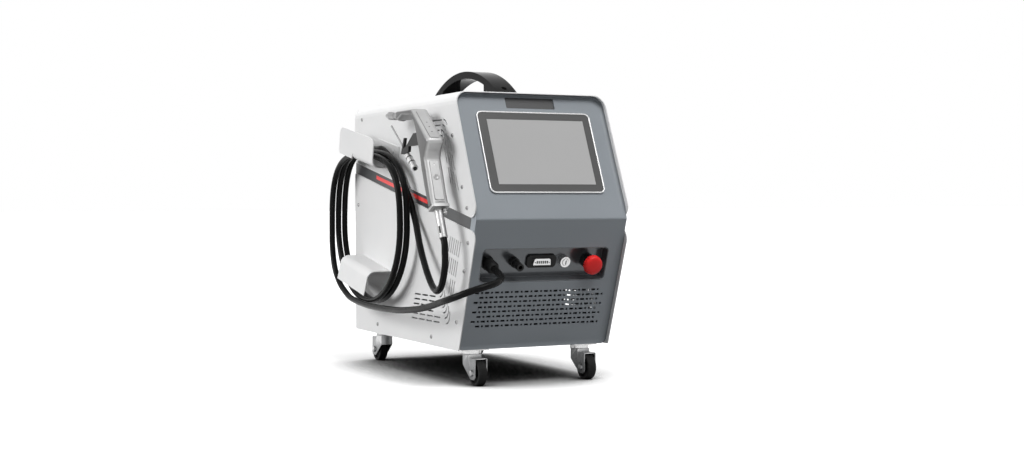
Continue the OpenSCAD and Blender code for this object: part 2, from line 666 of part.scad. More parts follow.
// The carrying handle
handle_r = (pow(handle_l / 2, 2) + pow(handle_h, 2)) / (2 * handle_h);
grip_l = handle_l - 2 * foot_l;
grip_r = handle_r - handle_h / 10;
handle_screw_y = foot_l / 3;
handle_screw_d = 9;
function handle_z(y) = sqrt(pow(handle_r, 2) - pow(handle_l / 2 - y, 2)) - handle_r + handle_h;
module at_handle_screws() for (s = [-1, 1])
    translate([0, handle_y + s * (handle_l / 2 - handle_screw_y), body_h]) children();
module carry_handle() color([0.07, 0.07, 0.08]) difference() {
    along_x(-handle_w / 2, handle_w / 2) translate([handle_y, body_h]) difference() {
        intersection() {
            translate([0, handle_h - handle_r]) circle(handle_r, $fn = 180);
            translate([-handle_l / 2, 0]) square([handle_l, handle_h]);
        }
        intersection() {
            translate([0, handle_h - strap_t - grip_r]) circle(grip_r, $fn = 180);
            translate([-grip_l / 2, -over]) square([grip_l, handle_h]);
        }
    }
    at_handle_screws() translate([0, 0, handle_z(handle_screw_y) / 2])
        cylinder(d = handle_screw_d + 2 * over, h = handle_h);
}
module handle_screws() color("silver") at_handle_screws()
    translate([0, 0, handle_z(handle_screw_y) / 2]) cylinder(d = handle_screw_d, h = screw_t * 2);

// The two hooks for the hose
hook_y = 397;
hook_z = 358.5;
hook_r = 15;
flange_h = 44;
lip_r = 20;
low_hook_y = 441.5;
low_hook_z = 139;
low_lip_h = 52;
low_flange_h = 50;
low_lip_out = 6;
low_hook_r = 18;
lip_in = hook_reach - hook_t;
module hook_frame(y, z) translate([-half, y, z]) rotate([hook_a, 0, 0]) children();
module hose_hook_upper() color("whitesmoke") hook_frame(hook_y, hook_z) {
    along_y(0, shelf_l) polygon(rounded([[0, -hook_t], [-hook_reach, -hook_t],
        [-hook_reach, hook_r + hook_t], [-lip_in, hook_r + hook_t], [-lip_in, 0], [-hook_t, 0],
        [-hook_t, flange_h], [0, flange_h]], [0, hook_r, 0, 0, hook_r - hook_t, 0, 0, 0]));
    along_x(-hook_reach, -lip_in) polygon(rounded([[0, hook_r], [shelf_l, hook_r], [shelf_l, 0],
        [lip_l, 0], [lip_l, lip_h], [0, lip_h]], [0, 0, 0, lip_r / 2, lip_r, lip_r]));
    for (y = [shelf_l / 4, shelf_l * 3 / 4]) translate([-hook_t / 2, y, flange_h * 2 / 3])
        rotate([0, -90, 0]) cylinder(d = screw_d, h = hook_t / 2 + screw_t);
}
module hose_hook_lower() color("whitesmoke") hook_frame(low_hook_y, low_hook_z)
    along_y(0, low_hook_l) polygon(rounded([[0, 0], [-lip_in + low_lip_out, 0],
        [-hook_reach, -low_lip_h], [-hook_reach + hook_t, -low_lip_h],
        [-lip_in + low_lip_out + hook_t, -hook_t], [-hook_t, -hook_t], [-hook_t, -low_flange_h],
        [0, -low_flange_h]], [0, low_hook_r, 0, 0, low_hook_r - hook_t, 0, 0, 0]));

// The gun's own frame lies at the foot of its grip
gun_off = 39.5;
gun_x = -half - gun_off;
gun_y = 85;
gun_z = 275;
gun_outline_shares = [[0.534, 1], [0.096, 0.667], [0.155, 0.56], [0.181, 0.497], [0.13, 0.383],
    [0.052, 0.179], [0, 0.041], [0.09, 0], [0.185, 0.179], [0.27, 0.384], [0.316, 0.525],
    [0.359, 0.628], [0.41, 0.759], [0.503, 0.938], [0.804, 0.953], [0.956, 0.894], [0.956, 1],
    [0.804, 1]];
function gun_point(i) = gun_outline_shares[i] * gun_h;
module in_gun() translate([gun_x, gun_y, gun_z]) children();
// A frame on one edge of the outline: X along the gun's width, Y along the edge, Z inward
module on_edge(i, share) {
    a = gun_point(i);
    b = gun_point(i + 1);
    p = a + (b - a) * share;
    translate([0, p.x, p.y]) rotate([atan2(b.y - a.y, b.x - a.x), 0, 0]) children();
}
// A slab whose edges are bevelled, but for those where it meets the next block across a seam
seam = 0.1;
module bevelled(points, w, bevel, joints) {
    k = len(points);
    at_joint = [for (i = [0:k - 1]) len(search(i, joints)) > 0];
    full = inset(points, [for (j = at_joint) j ? seam / 2 : 0]);
    drawn_in = inset(points, [for (j = at_joint) j ? seam / 2 : bevel]);
    rims = [drawn_in, full, full, drawn_in];
    xs = [-w / 2, bevel - w / 2, w / 2 - bevel, w / 2];
    polyhedron(points = [for (i = [0:3], p = rims[i]) [xs[i], p.x, p.y]],
        faces = concat([[for (j = [0:k - 1]) j]], [[for (j = [k - 1:-1:0]) 3 * k + j]],
            [for (i = [0:2], j = [0:k - 1]) let (a = i * k + j, b = i * k + (j + 1) % k) [a, a + k, b]],
            [for (i = [0:2], j = [0:k - 1]) let (a = i * k + j, b = i * k + (j + 1) % k)
                [b, a + k, b + k]]));
}
button_edge = 4;
button_share = 0.4;
button_h = 1.5;
button_deep = 4;
button_travel = 1.2;
stud_shares = [0.91, 0.956];
stud_y = gun_h * stud_shares.x;
stud_z = gun_h * stud_shares.y;
stud_d = 8;
stud_head_d = 16;
stud_head_t = 3;
grip_corners = [for (i = [3:10]) i];
head_corners = concat([for (i = [0:3]) i], [for (i = [10:14]) i], [17]);
neck_corners = [for (i = [14:17]) i];
module gun_block(corners, joints) {
    bevelled([for (i = corners) gun_point(i)], gun_w, gun_bevel, joints);
}
module gun_body() color("silver") in_gun() {
    difference() {
        gun_block(grip_corners, [7]);
        on_edge(button_edge, button_share) translate([0, 0, -over])
            cylinder(d = button_d + 2 * gap, h = button_deep + gap + over);
    }
    gun_block(head_corners, [3, 8]);
    gun_block(neck_corners, [3]);
    translate([gun_w / 2 - over, stud_y, stud_z]) rotate([0, 90, 0]) {
        cylinder(d = stud_d, h = over + stud_slot_x + stud_head_t);
        translate([0, 0, over + stud_slot_x]) cylinder(d = stud_head_d, h = stud_head_t);
    }
}
module gun_button() color("gainsboro") in_gun() on_edge(button_edge, button_share)
    translate([0, 0, -button_h]) cylinder(d = button_d, h = button_h + button_deep - button_travel);
head_w = 18;
head_t = 1.5;
head_start_share = 0.07;
head_length_share = 0.88;
head_holes_share = 0.5;
head_pitch_share = 0.1;
module gun_head_cover() color("gainsboro") in_gun() on_edge(0, 0) {
    l = norm(gun_point(1) - gun_point(0));
    difference() {
        translate([-head_w / 2, l * head_start_share, -head_t])
            cube([head_w, l * head_length_share, head_t]);
        for (k = [0:2]) translate([0, l * (head_holes_share + head_pitch_share * k), -head_t - over])
            cylinder(d = head_t, h = head_t + over / 2, $fn = 16);
    }
}

// Nozzle along the neck, turned up a little
neck_z_share = 0.947;
nozzle_a = 4;
knurl_d = 20;
knurl_l = 18;
ring_d = 14;
ring_l = 22;
barrel_end = 74;
nozzle_tip_d = 8;
tip_l = 15;
nozzle_bore = 4;
module in_nozzle() in_gun() translate([0, gun_point(15).x, gun_h * neck_z_share])
    rotate([nozzle_a - 90, 0, 0]) children();
nozzle_foot = gap + tan(nozzle_a) * knurl_d / 2;
module gun_nozzle() color("silver") in_nozzle() difference() {
    rotate_extrude() polygon([[0, nozzle_foot], [knurl_d / 2, nozzle_foot], [knurl_d / 2, knurl_l],
        [ring_d / 2, knurl_l],
        [ring_d / 2, knurl_l + ring_l], [nozzle_d / 2, knurl_l + ring_l], [nozzle_d / 2, barrel_end],
        [nozzle_tip_d / 2, barrel_end + tip_l], [0, barrel_end + tip_l]]);
    translate([0, 0, barrel_end]) cylinder(d = nozzle_bore, h = tip_l + over);
}

// Wire guide under the neck
bracket_w = 6;
wire_a = 35.5;
wire_y_share = 0.839;
wire_z_share = 0.537;
wire_d = 4;
wire_l = 108;
plug_d = 14;
plug_l = 46;
groove_t = 1;
plug_bore_share = 0.6;
bracket_shares = [[0.41, 0.759], [0.359, 0.628], [0.596, 0.632], [0.782, 0.63], [0.793, 0.575],
    [0.837, 0.565], [0.94, 0.554], [0.997, 0.554], [0.92, 0.721], [0.894, 0.721], [0.93, 0.61],
    [0.85, 0.635], [0.658, 0.759]];
module along_wire() in_gun() translate([0, wire_y_share * gun_h, wire_z_share * gun_h])
    rotate([wire_a - 90, 0, 0]) children();
module gun_wire_bracket() color("dimgray") difference() {
    in_gun() along_x(-bracket_w / 2, bracket_w / 2) polygon(bracket_shares * gun_h);
    along_wire() translate([0, 0, -over]) cylinder(d = wire_d + 2 * run_fit, h = wire_l);
}
module gun_wire_tube() color("gainsboro") along_wire() cylinder(d = wire_d, h = wire_l);
module gun_wire_connector() color("gainsboro") along_wire() translate([0, 0, -plug_l]) difference() {
    cylinder(d = plug_d, h = plug_l);
    for (k = [1, 2]) translate([0, 0, plug_l * k / 3]) difference() {
        cylinder(d = plug_d + over, h = groove_t);
        translate([0, 0, -over]) cylinder(d = plug_d - groove_t, h = groove_t + 2 * over);
    }
    translate([0, 0, -over]) cylinder(d = plug_d * plug_bore_share, h = plug_l / 4);
}

// Trigger on the rear of the grip, hung on a pin between two ears
trigger_edge = 8;
ear_t = 3;
ear_h = 11;
ear_l = 12;
trigger_w = 14;
trigger_l = 34;
trigger_t = 5;
pin_h = 7;
pin_w = 3;
mount_t = 2;
trigger_share = 0.8;
module gun_trigger_mount() color("dimgray") in_gun() on_edge(trigger_edge, trigger_share) {
    translate([-trigger_w / 2 - ear_t, -ear_l / 2, -mount_t])
        cube([trigger_w + 2 * ear_t, ear_l, mount_t]);
    for (x = [-trigger_w / 2 - ear_t, trigger_w / 2])
        translate([x, -ear_l / 2, -ear_h]) cube([ear_t, ear_l, ear_h]);
    translate([-trigger_w / 2 - ear_t, 0, -pin_h]) rotate([0, 90, 0])
        cylinder(d = pin_w, h = trigger_w + 2 * ear_t);
}
module gun_trigger() color([0.15, 0.15, 0.16]) in_gun() on_edge(trigger_edge, trigger_share)
    translate([gap - trigger_w / 2, 0, 0]) difference() {
        union() {
            translate([0, 0, -pin_h]) rotate([0, 90, 0])
                cylinder(d = pin_w + trigger_t, h = trigger_w - 2 * gap, $fn = 32);
            translate([0, -trigger_l, -pin_h - trigger_t / 2])
                cube([trigger_w - 2 * gap, trigger_l, trigger_t]);
        }
        translate([-over, 0, -pin_h]) rotate([0, 90, 0])
            cylinder(d = pin_w + 2 * run_fit, h = trigger_w + 2 * over);
    }

// End plate under the grip with its knob, and the strain relief below it
end_edge = 6;
end_w = 36;
end_l = 30;
end_t = 7;
knob_d = 8;
knob_l = 13;
knob_x = 10;
relief_d = 17;
relief_l = 66;
relief_lip = 3;
relief_off = 4;
end_dir = unit(gun_point(end_edge + 1) - gun_point(end_edge));
function relief_point(l) = let (q = (gun_point(end_edge) + gun_point(end_edge + 1)) / 2
    + relief_off * end_dir - l * left_of(end_dir)) [gun_x, gun_y + q.x, gun_z + q.y];
module under_grip() in_gun() on_edge(end_edge, 0.5) rotate([180, 0, 0]) children();
module gun_end_plate() color("gainsboro") under_grip() {
    linear_extrude(end_t) polygon(round_box(end_w, end_l, relief_lip));
    translate([knob_x, relief_off, end_t - over]) cylinder(d = knob_d, h = knob_l + over);
}
module gun_strain_relief() color("silver") under_grip() translate([0, -relief_off, end_t]) difference() {
    union() {
        cylinder(d = relief_d, h = relief_l - end_t);
        cylinder(d = relief_d + relief_lip / 2, h = relief_lip);
    }
    translate([-relief_lip / 2, relief_d / 4, relief_l / 3])
        cube([relief_lip, relief_d, relief_l / 4]);
}

// Holder behind the gun: a channel with a slot for the stud on the gun
holder_deep = 16;
stud_slot_x = gun_off - gun_w / 2 - holder_deep + gap;
holder_w = 30;
holder_h = 30;
holder_low = 12;
module gun_holder() color("whitesmoke") translate([-half, gun_y + stud_y, gun_z + stud_z - holder_low])
    difference() {
        translate([-holder_deep - hook_t, -holder_w / 2, 0])
            cube([holder_deep + hook_t, holder_w, holder_h - holder_low]);
        translate([-holder_deep, hook_t - holder_w / 2, -over])
            cube([holder_deep - hook_t, holder_w - 2 * hook_t, holder_h]);
        translate([-holder_deep - 2 * hook_t, 0, holder_low]) rotate([0, 90, 0])
            cylinder(d = stud_d + 2 * gap, h = 3 * hook_t);
        translate([-holder_deep - 2 * hook_t, -stud_d / 2 - gap, holder_low])
            cube([3 * hook_t, stud_d + 2 * gap, holder_h]);
    }

// The hose: a run from the gland, a coil on the hooks and a run to the gun
front_points = [[-125, -15, 143.5], [-144, -33, 136],
    [-170, -39.5, 130], [-196, -32.5, 122], [-215, -13.5, 112], [-222, 12.5, 104.5], [-222, 50, 97],
    [-221, 95, 88], [-221, 145, 80], [-220, 195, 74.5], [-219, 250, 70], [-217, 305, 67.5],
    [-216, 360, 66.5], [-214.5, 415, 66.5], [-213.5, 470, 68], [-213, 520, 71.5], [-212.5, 568, 78],
    [-212, 600, 89], [-212, 627, 101.5], [-211.5, 649, 116.5], [-211, 666.5, 133.5],
    [-210.5, 679, 155], [-210, 686.5, 178], [-210, 689.5, 200]];
gun_points = [[-175.5, 449, 393.5], [-174.5, 409.5, 374.5], [-174, 371.5, 348.5],
    [-174, 349.5, 327.5], [-173.5, 329, 306.5], [-173.2, 313.5, 290], [-173.8, 296, 266],
    [-177.5, 273.5, 246], [-183.5, 246.5, 220], [-188, 223, 194.5], [-192.5, 194.5, 168],
    [-197, 164, 143.5], [-201, 130, 122], [-203.5, 104.5, 115.5], [-204.5, 83, 124.5],
    [-204.5, 69, 148], [-204.5, 63, 172.5], [-204.5, 64, 190]];
coil_y = 492.5;
coil_z = 241.3;
coil_x = -210;
coil_top = 144.4;
coil_top_rise = 6.5;
coil_lean = 0.05;
coil_turns = 2.25;
coil_power_share = 0.6667;
rings_a_turn = 24;
function coil_up(t) = coil_top + coil_top_rise * t;
function power_of(v) = sign(v) * pow(abs(v), coil_power_share);
function coil_point(t) = let (c = cos(360 * t), s = sin(360 * t),
        y = s < 0 ? coil_a * c : coil_a * power_of(c))
    [coil_x + coil_step * t, coil_y + y,
        coil_z + (s < 0 ? coil_b * s : (coil_up(t) + coil_lean * y) * power_of(s))];
coil_route = concat([coil_point(0) - [0, 0, hose_d]],
    [for (i = [0:coil_turns * rings_a_turn]) coil_point(i / rings_a_turn)],
    [coil_point(coil_turns) - [0, hose_d, 0]]);
coil_end = coil_route[len(coil_route) - 1];
bay_out = [0, -cos(low_a), -sin(low_a)];
gland_end = [gland_x, low_y(floor_rec, ridge_h) + (bay_s - floor_rec * tan(low_a)) * sin(low_a),
    ridge_h - (bay_s - floor_rec * tan(low_a)) * cos(low_a)] + gland_l * bay_out;
front_route = concat([gland_end, gland_end + hose_d * 3 / 2 * bay_out], front_points,
    [coil_route[0] - [0, 0, hose_d], coil_route[0]]);
gun_route = concat([coil_end, coil_end - [0, hose_d, 0]], gun_points,
    [relief_point(relief_l + hose_d), relief_point(relief_l + gap)]);
coil_last = len(coil_route) - 1;
coil_gap = min([for (i = [0:coil_last - rings_a_turn], j = [i + rings_a_turn * 3 / 4:coil_last])
    norm(coil_route[i] - coil_route[j])]) - hose_d;
echo(least_gap_of_the_coil = coil_gap);
module hose_front_run() color([0.08, 0.08, 0.08]) tube(front_route, hose_d / 2, 8);
module hose_coil() color([0.08, 0.08, 0.08]) tube(coil_route, hose_d / 2, 6);
module hose_gun_run() color([0.08, 0.08, 0.08]) tube(gun_route, hose_d / 2, 8);

// The rear: fans with their guards, breaker and inlets
fan_x = 70;
fan_z = 380;
fan_wall = 4;
fan_hub_d = 40;
blade_count = 7;
blade_t = 2;
guard_wire = 2.5;
guard_rings = 5;
guard_reach_share = 0.6;
blade_a = 35;
motor_t = 8;
pivot_d = 5;
inlet_z = 90;
inlet_x = 90;
inlet_d = 24;
gas_x = 20;
gas_d = 14;
gas_l = 18;
breaker_x = -80;
breaker_w = 54;
breaker_h = 50;
breaker_t = 60;
face_t = 3;
toggle_w = 18;
toggle_l = 12;
toggle_d = 10;
toggle_room = 20;
toggle_a = 20;
inlet_nut_d = 31.2;
gas_nut_d = 19.6;
module fan_frames() color([0.15, 0.15, 0.16]) for (x = [-fan_x, fan_x])
    translate([x, body_d - sheet_t, fan_z]) rotate([90, 0, 0]) {
        linear_extrude(fan_t) difference() {
            square([fan_w, fan_w], true);
            circle(d = fan_w - 2 * fan_wall);
        }
        translate([0, 0, fan_t - motor_t]) cylinder(d = fan_hub_d, h = motor_t / 2);
        for (k = [0:3]) rotate([0, 0, 45 + 90 * k])
            translate([fan_hub_d / 2 - over, -blade_t, fan_t - motor_t])
            cube([fan_w / 2 - fan_hub_d / 2, 2 * blade_t, motor_t / 2]);
        translate([0, 0, fan_t / 2]) cylinder(d = pivot_d, h = fan_t / 2 - motor_t / 2);
        translate([0, 0, -sheet_t - guard_t]) {
            for (k = [1:guard_rings]) linear_extrude(guard_wire) difference() {
                circle(d = (fan_w - 2 * fan_wall + 2 * guard_wire) * k / guard_rings);
                circle(d = (fan_w - 2 * fan_wall + 2 * guard_wire) * k / guard_rings - 2 * guard_wire);
            }
            for (k = [0:1]) rotate([0, 0, 45 + 90 * k])
                translate([-fan_w * guard_reach_share, -guard_wire / 2, 0])
                cube([2 * fan_w * guard_reach_share, guard_wire, guard_wire]);
            for (k = [0:3]) rotate([0, 0, 45 + 90 * k]) translate([fan_w * guard_reach_share, 0, 0])
                cylinder(d = 2 * guard_wire, h = guard_t);
        }
    }
module fan_rotor(x) color([0.2, 0.2, 0.21]) translate([x, body_d - sheet_t, fan_z]) rotate([90, 0, 0])
    difference() {
        union() {
            translate([0, 0, over]) cylinder(d = fan_hub_d, h = fan_t - motor_t - over - gap);
            for (k = [0:blade_count - 1]) rotate([0, 0, 360 * k / blade_count])
                translate([fan_hub_d / 2 - over, 0, fan_t / 3]) rotate([blade_a, 0, 0])
                translate([0, -fan_t / 4, 0])
                    cube([fan_w / 2 - fan_wall - fan_hub_d / 2 - over, fan_t / 2, blade_t]);
        }
        translate([0, 0, fan_t / 2 - gap]) cylinder(d = pivot_d + 2 * run_fit, h = fan_t);
    }
module fan_rotor_left() fan_rotor(-fan_x);
module fan_rotor_right() fan_rotor(fan_x);
module breaker() color([0.85, 0.85, 0.85]) translate([breaker_x, body_d, inlet_z]) difference() {
    union() {
        translate([-breaker_w / 2, -breaker_t, -breaker_h / 2]) cube([breaker_w, breaker_t, breaker_h]);
        translate([-breaker_w / 2 - face_t, 0, -breaker_h / 2 - face_t])
            cube([breaker_w + 2 * face_t, face_t, breaker_h + 2 * face_t]);
    }
    translate([-toggle_w / 2 - gap, -toggle_d, -toggle_room / 2])
        cube([toggle_w + 2 * gap, toggle_d + face_t + over, toggle_room]);
}
module breaker_toggle() color([0.15, 0.15, 0.16]) translate([breaker_x, body_d, inlet_z])
    rotate([-toggle_a, 0, 0]) {
    translate([-toggle_w / 2, 0, 0]) rotate([0, 90, 0]) cylinder(d = toggle_d, h = toggle_w);
    translate([-toggle_w / 2, 0, -toggle_d / 4]) cube([toggle_w, toggle_l, toggle_d / 2]);
}
module rear_inlets() color([0.75, 0.68, 0.45]) {
    translate([inlet_x, body_d + inlet_l, inlet_z]) rotate([90, 0, 0]) difference() {
        union() {
            cylinder(d = inlet_d - gap, h = 2 * inlet_l);
            translate([0, 0, inlet_l / 2]) cylinder(d = inlet_nut_d, h = inlet_l / 2, $fn = 6);
        }
        translate([0, 0, -over]) cylinder(d = inlet_d / 2, h = 2 * inlet_l - over);
    }
    translate([gas_x, body_d + gas_l, inlet_z]) rotate([90, 0, 0]) difference() {
        union() {
            cylinder(d = gas_d - gap, h = 2 * gas_l);
            translate([0, 0, gas_l / 2]) cylinder(d = gas_nut_d, h = gas_l / 2, $fn = 6);
        }
        translate([0, 0, -over]) cylinder(d = gas_bore, h = 2 * gas_l);
    }
}

// What the machine holds inside
laser_size = [240, 300, 84];
laser_front = 82;
fin_h = 30;
fin_t = 3;
fin_count = 12;
supply_size = [200, 300, 110];
supply_front = 75;
module laser_source() color("slategray") translate([-laser_size.x / 2, top_back + laser_front,
    shelf_z + sheet_t]) {
    cube(laser_size);
    for (k = [0:fin_count - 1])
        translate([k * (laser_size.x - fin_t) / (fin_count - 1), laser_size.y / 4, laser_size.z])
            cube([fin_t, laser_size.y * 3 / 4, fin_h]);
}
module power_supply() color("silver")
    translate([-supply_size.x / 2, low_back + supply_front, sheet_t]) cube(supply_size);

placed() base_plate();
placed() chassis();
placed() upper_cover();
placed() lower_side_left();
placed() lower_side_right();
placed() front_frame();
placed() front_panel();
placed() rear_panel();
placed() cover_screws();
placed() red_stripes();
placed() badge_plate();
placed() screen_frame();
placed() screen_glass();
placed() display_panel();
placed() connector_bay();
placed() hose_gland();
placed() ground_socket();
placed() signal_socket();
placed() signal_shell();
placed() key_switch();
placed() key_barrel();
placed() stop_collar();
placed() stop_stem();
placed() stop_cap();
placed() castor_plates();
placed() castor_fork_front_left();
placed() castor_fork_front_right();
placed() castor_fork_rear_left();
placed() castor_fork_rear_right();
placed() castor_wheel_front_left();
placed() castor_wheel_front_right();
placed() castor_wheel_rear_left();
placed() castor_wheel_rear_right();
placed() carry_handle();
placed() handle_screws();
placed() hose_hook_upper();
placed() hose_hook_lower();
placed() gun_holder();
placed() hose_front_run();
placed() hose_coil();
placed() hose_gun_run();
placed() gun_body();
placed() gun_head_cover();
placed() gun_nozzle();
placed() gun_wire_bracket();
placed() gun_wire_tube();
placed() gun_wire_connector();
placed() gun_button();
placed() gun_trigger();
placed() gun_trigger_mount();
placed() gun_end_plate();
placed() gun_strain_relief();
placed() fan_frames();
placed() fan_rotor_left();
placed() fan_rotor_right();
placed() breaker();
placed() breaker_toggle();
placed() rear_inlets();
placed() laser_source();
placed() power_supply();
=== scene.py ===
"""The laser welding machine's looks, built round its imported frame."""
import json
import math

import bmesh
import bpy
from mathutils import Euler, Matrix, Vector


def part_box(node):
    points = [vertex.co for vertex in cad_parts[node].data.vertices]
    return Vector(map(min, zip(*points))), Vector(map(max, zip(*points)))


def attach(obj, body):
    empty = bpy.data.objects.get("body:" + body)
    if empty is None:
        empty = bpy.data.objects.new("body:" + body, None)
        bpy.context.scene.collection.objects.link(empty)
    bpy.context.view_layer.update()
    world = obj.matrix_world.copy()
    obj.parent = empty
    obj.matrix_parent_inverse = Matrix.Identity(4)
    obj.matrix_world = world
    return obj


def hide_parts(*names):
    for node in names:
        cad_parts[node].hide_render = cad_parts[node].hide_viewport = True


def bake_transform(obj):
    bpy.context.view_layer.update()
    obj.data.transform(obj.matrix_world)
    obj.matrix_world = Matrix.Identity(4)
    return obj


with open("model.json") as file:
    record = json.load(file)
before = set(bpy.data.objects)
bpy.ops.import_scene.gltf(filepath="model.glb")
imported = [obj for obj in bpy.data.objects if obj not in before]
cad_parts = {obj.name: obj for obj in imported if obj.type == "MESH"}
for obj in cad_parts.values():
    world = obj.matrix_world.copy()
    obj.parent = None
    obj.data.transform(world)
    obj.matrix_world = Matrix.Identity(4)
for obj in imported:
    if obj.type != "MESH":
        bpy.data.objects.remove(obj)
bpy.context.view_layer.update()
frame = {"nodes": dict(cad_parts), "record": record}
nodes = frame["nodes"]
record = frame["record"]
slot_of = {part["node"]: part["material_slot"] for part in record["subparts"]}
body_of = {name: body for body, names in record["behaviour"]["bodies"].items() for name in names}

# Lengths are in millimetres in the body's own frame: X from the middle plane, Y back from the
# front ridge and Z up from the underside
MM = 0.001
BODY_W = 330
BODY_D = 660
BODY_H = 500
RIDGE_H = 253
TOP_LEAN_D = 108
LOW_LEAN_D = 91
TOP_LEAN = math.atan2(TOP_LEAN_D, BODY_H - RIDGE_H)
LOW_LEAN = math.atan2(LOW_LEAN_D, RIDGE_H)
side_low, side_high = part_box("lower_side_left")
ORIGIN = Vector((side_low.x + BODY_W / 2 * MM, side_high.y - BODY_D * MM, side_low.z))


def place(point):
    """A point of the body's own frame as a point of the row frame, in metres"""
    return ORIGIN + Vector(point) * MM


# The camera
YAW = 26.228
PITCH = -0.879
ROLL = -0.159
LENS = 50.84
SENSOR = 36
EYE = (-1294.2, -2434.1, 283.7)


def make_camera():
    data = bpy.data.cameras.new("camera")
    data.lens = LENS
    data.sensor_width = SENSOR
    camera = bpy.data.objects.new("camera", data)
    turn = Euler((math.radians(90 + PITCH), 0, math.radians(-YAW)), "XYZ").to_matrix()
    turn = turn @ Matrix.Rotation(math.radians(ROLL), 3, "Z")
    camera.matrix_world = Matrix.Translation(place(EYE)) @ turn.to_4x4()
    bpy.context.collection.objects.link(camera)
    bpy.context.scene.camera = camera


# Materials
CLOUD_DETAIL = 4
GRAIN_DETAIL = 3
# The most that a worn edge mixes in, and the pointiness where it starts and where it gets there
WORN_MOST = 0.8
WORN_FROM = 0.53
WORN_TO = 0.62
# How far a face looks sideways where its painted shade starts, and where that shade is darkest
SIDE_SHADE_FROM = 0.5
SIDE_SHADE_TO = 0.95


def new_material(name):
    material = bpy.data.materials.new(name)
    material.use_nodes = True
    return material, material.node_tree, material.node_tree.nodes["Principled BSDF"]


def add(tree, kind, **inputs):
    """A node of that kind with its input values set"""
    node = tree.nodes.new(kind)
    for key, value in inputs.items():
        node.inputs[key.replace("_", " ")].default_value = value
    return node


def maths(tree, operation, *sources, clamp=False):
    """The result of an operation on one or two outputs"""
    node = tree.nodes.new("ShaderNodeMath")
    node.operation = operation
    node.use_clamp = clamp
    for k, source in enumerate(sources):
        tree.links.new(source, node.inputs[k])
    return node.outputs["Value"]


def noise(tree, scale, detail):
    """Noise of that many cells to the metre"""
    cells = add(tree, "ShaderNodeTexNoise", Scale=scale, Detail=detail)
    tree.links.new(add(tree, "ShaderNodeTexCoord").outputs["Object"], cells.inputs["Vector"])
    return cells.outputs["Fac"]


def spread(tree, source, low, high, start=0.3, end=0.7):
    """The source's range from start to end, as values from low to high"""
    node = add(tree, "ShaderNodeMapRange", From_Min=start, From_Max=end, To_Min=low, To_Max=high)
    tree.links.new(source, node.inputs["Value"])
    return node.outputs["Result"]


def mixed(tree, factor, a, b):
    """The colour between two, by the factor. Each is a tone or another node's output"""
    node = tree.nodes.new("ShaderNodeMix")
    node.data_type = "RGBA"
    for key, colour in (("A", a), ("B", b)):
        if isinstance(colour, tuple):
            node.inputs[key].default_value = (*colour, 1)
        else:
            tree.links.new(colour, node.inputs[key])
    tree.links.new(factor, node.inputs["Factor"])
    return node.outputs["Result"]


def bumped(tree, shader, height, depth):
    """Relief of that depth in metres on the shader"""
    node = add(tree, "ShaderNodeBump", Strength=1.0, Distance=depth)
    tree.links.new(height, node.inputs["Height"])
    tree.links.new(node.outputs["Normal"], shader.inputs["Normal"])


def surface(name, tone, other, rough, grain, depth, metal=0.0, cloud=9.0, worn=None, specular=0.5):
    """A finish: two close tones in soft clouds, a grain in roughness and relief, and worn edges"""
    material, tree, shader = new_material(name)
    shader.inputs["Metallic"].default_value = metal
    shader.inputs["Specular IOR Level"].default_value = specular
    clouds = spread(tree, noise(tree, cloud, CLOUD_DETAIL), 0.0, 1.0)
    result = mixed(tree, clouds, tone, other)
    if worn:
        point = add(tree, "ShaderNodeNewGeometry").outputs["Pointiness"]
        edge = spread(tree, point, 0.0, WORN_MOST, WORN_FROM, WORN_TO)
        result = mixed(tree, edge, result, worn)
    tree.links.new(result, shader.inputs["Base Color"])
    fine = noise(tree, grain, GRAIN_DETAIL)
    tree.links.new(spread(tree, fine, *rough), shader.inputs["Roughness"])
    bumped(tree, shader, fine, depth)
    return material


def grey(level, tint=0.0):
    """A grey, bluer by the tint"""
    return (level * (1 - tint), level, level * (1 + tint))


def with_painted_shade(material, share, dark):
    """Mixes the dark tone into the material's colour as painted shade, by an output of its own tree
    """
    tree = material.node_tree
    base = tree.nodes["Principled BSDF"].inputs["Base Color"]
    tree.links.new(mixed(tree, share, base.links[0].from_socket, dark), base)
    return material


def painted_side_shade(material, dark):
    """Paints shade on the faces that look sideways, darker the further they turn"""
    tree = material.node_tree
    split = tree.nodes.new("ShaderNodeSeparateXYZ")
    tree.links.new(add(tree, "ShaderNodeTexCoord").outputs["Normal"], split.inputs[0])
    side = maths(tree, "ABSOLUTE", split.outputs["X"])
    return with_painted_shade(material, spread(tree, side, 0.0, 1.0, SIDE_SHADE_FROM, SIDE_SHADE_TO), dark)


def painted_shade_by_attribute(material, dark):
    """Paints shade into a mesh, darker by its own shade values"""
    shade = add(material.node_tree, "ShaderNodeAttribute")
    shade.attribute_name = "shade"
    return with_painted_shade(material, shade.outputs["Fac"], dark)


# Two tones, the roughness's range, the grain's cells to the metre and its depth in metres
PANEL_FINISH = (grey(0.36, 0.09), grey(0.34, 0.09), (0.3, 0.4), 1800, 0.000012)


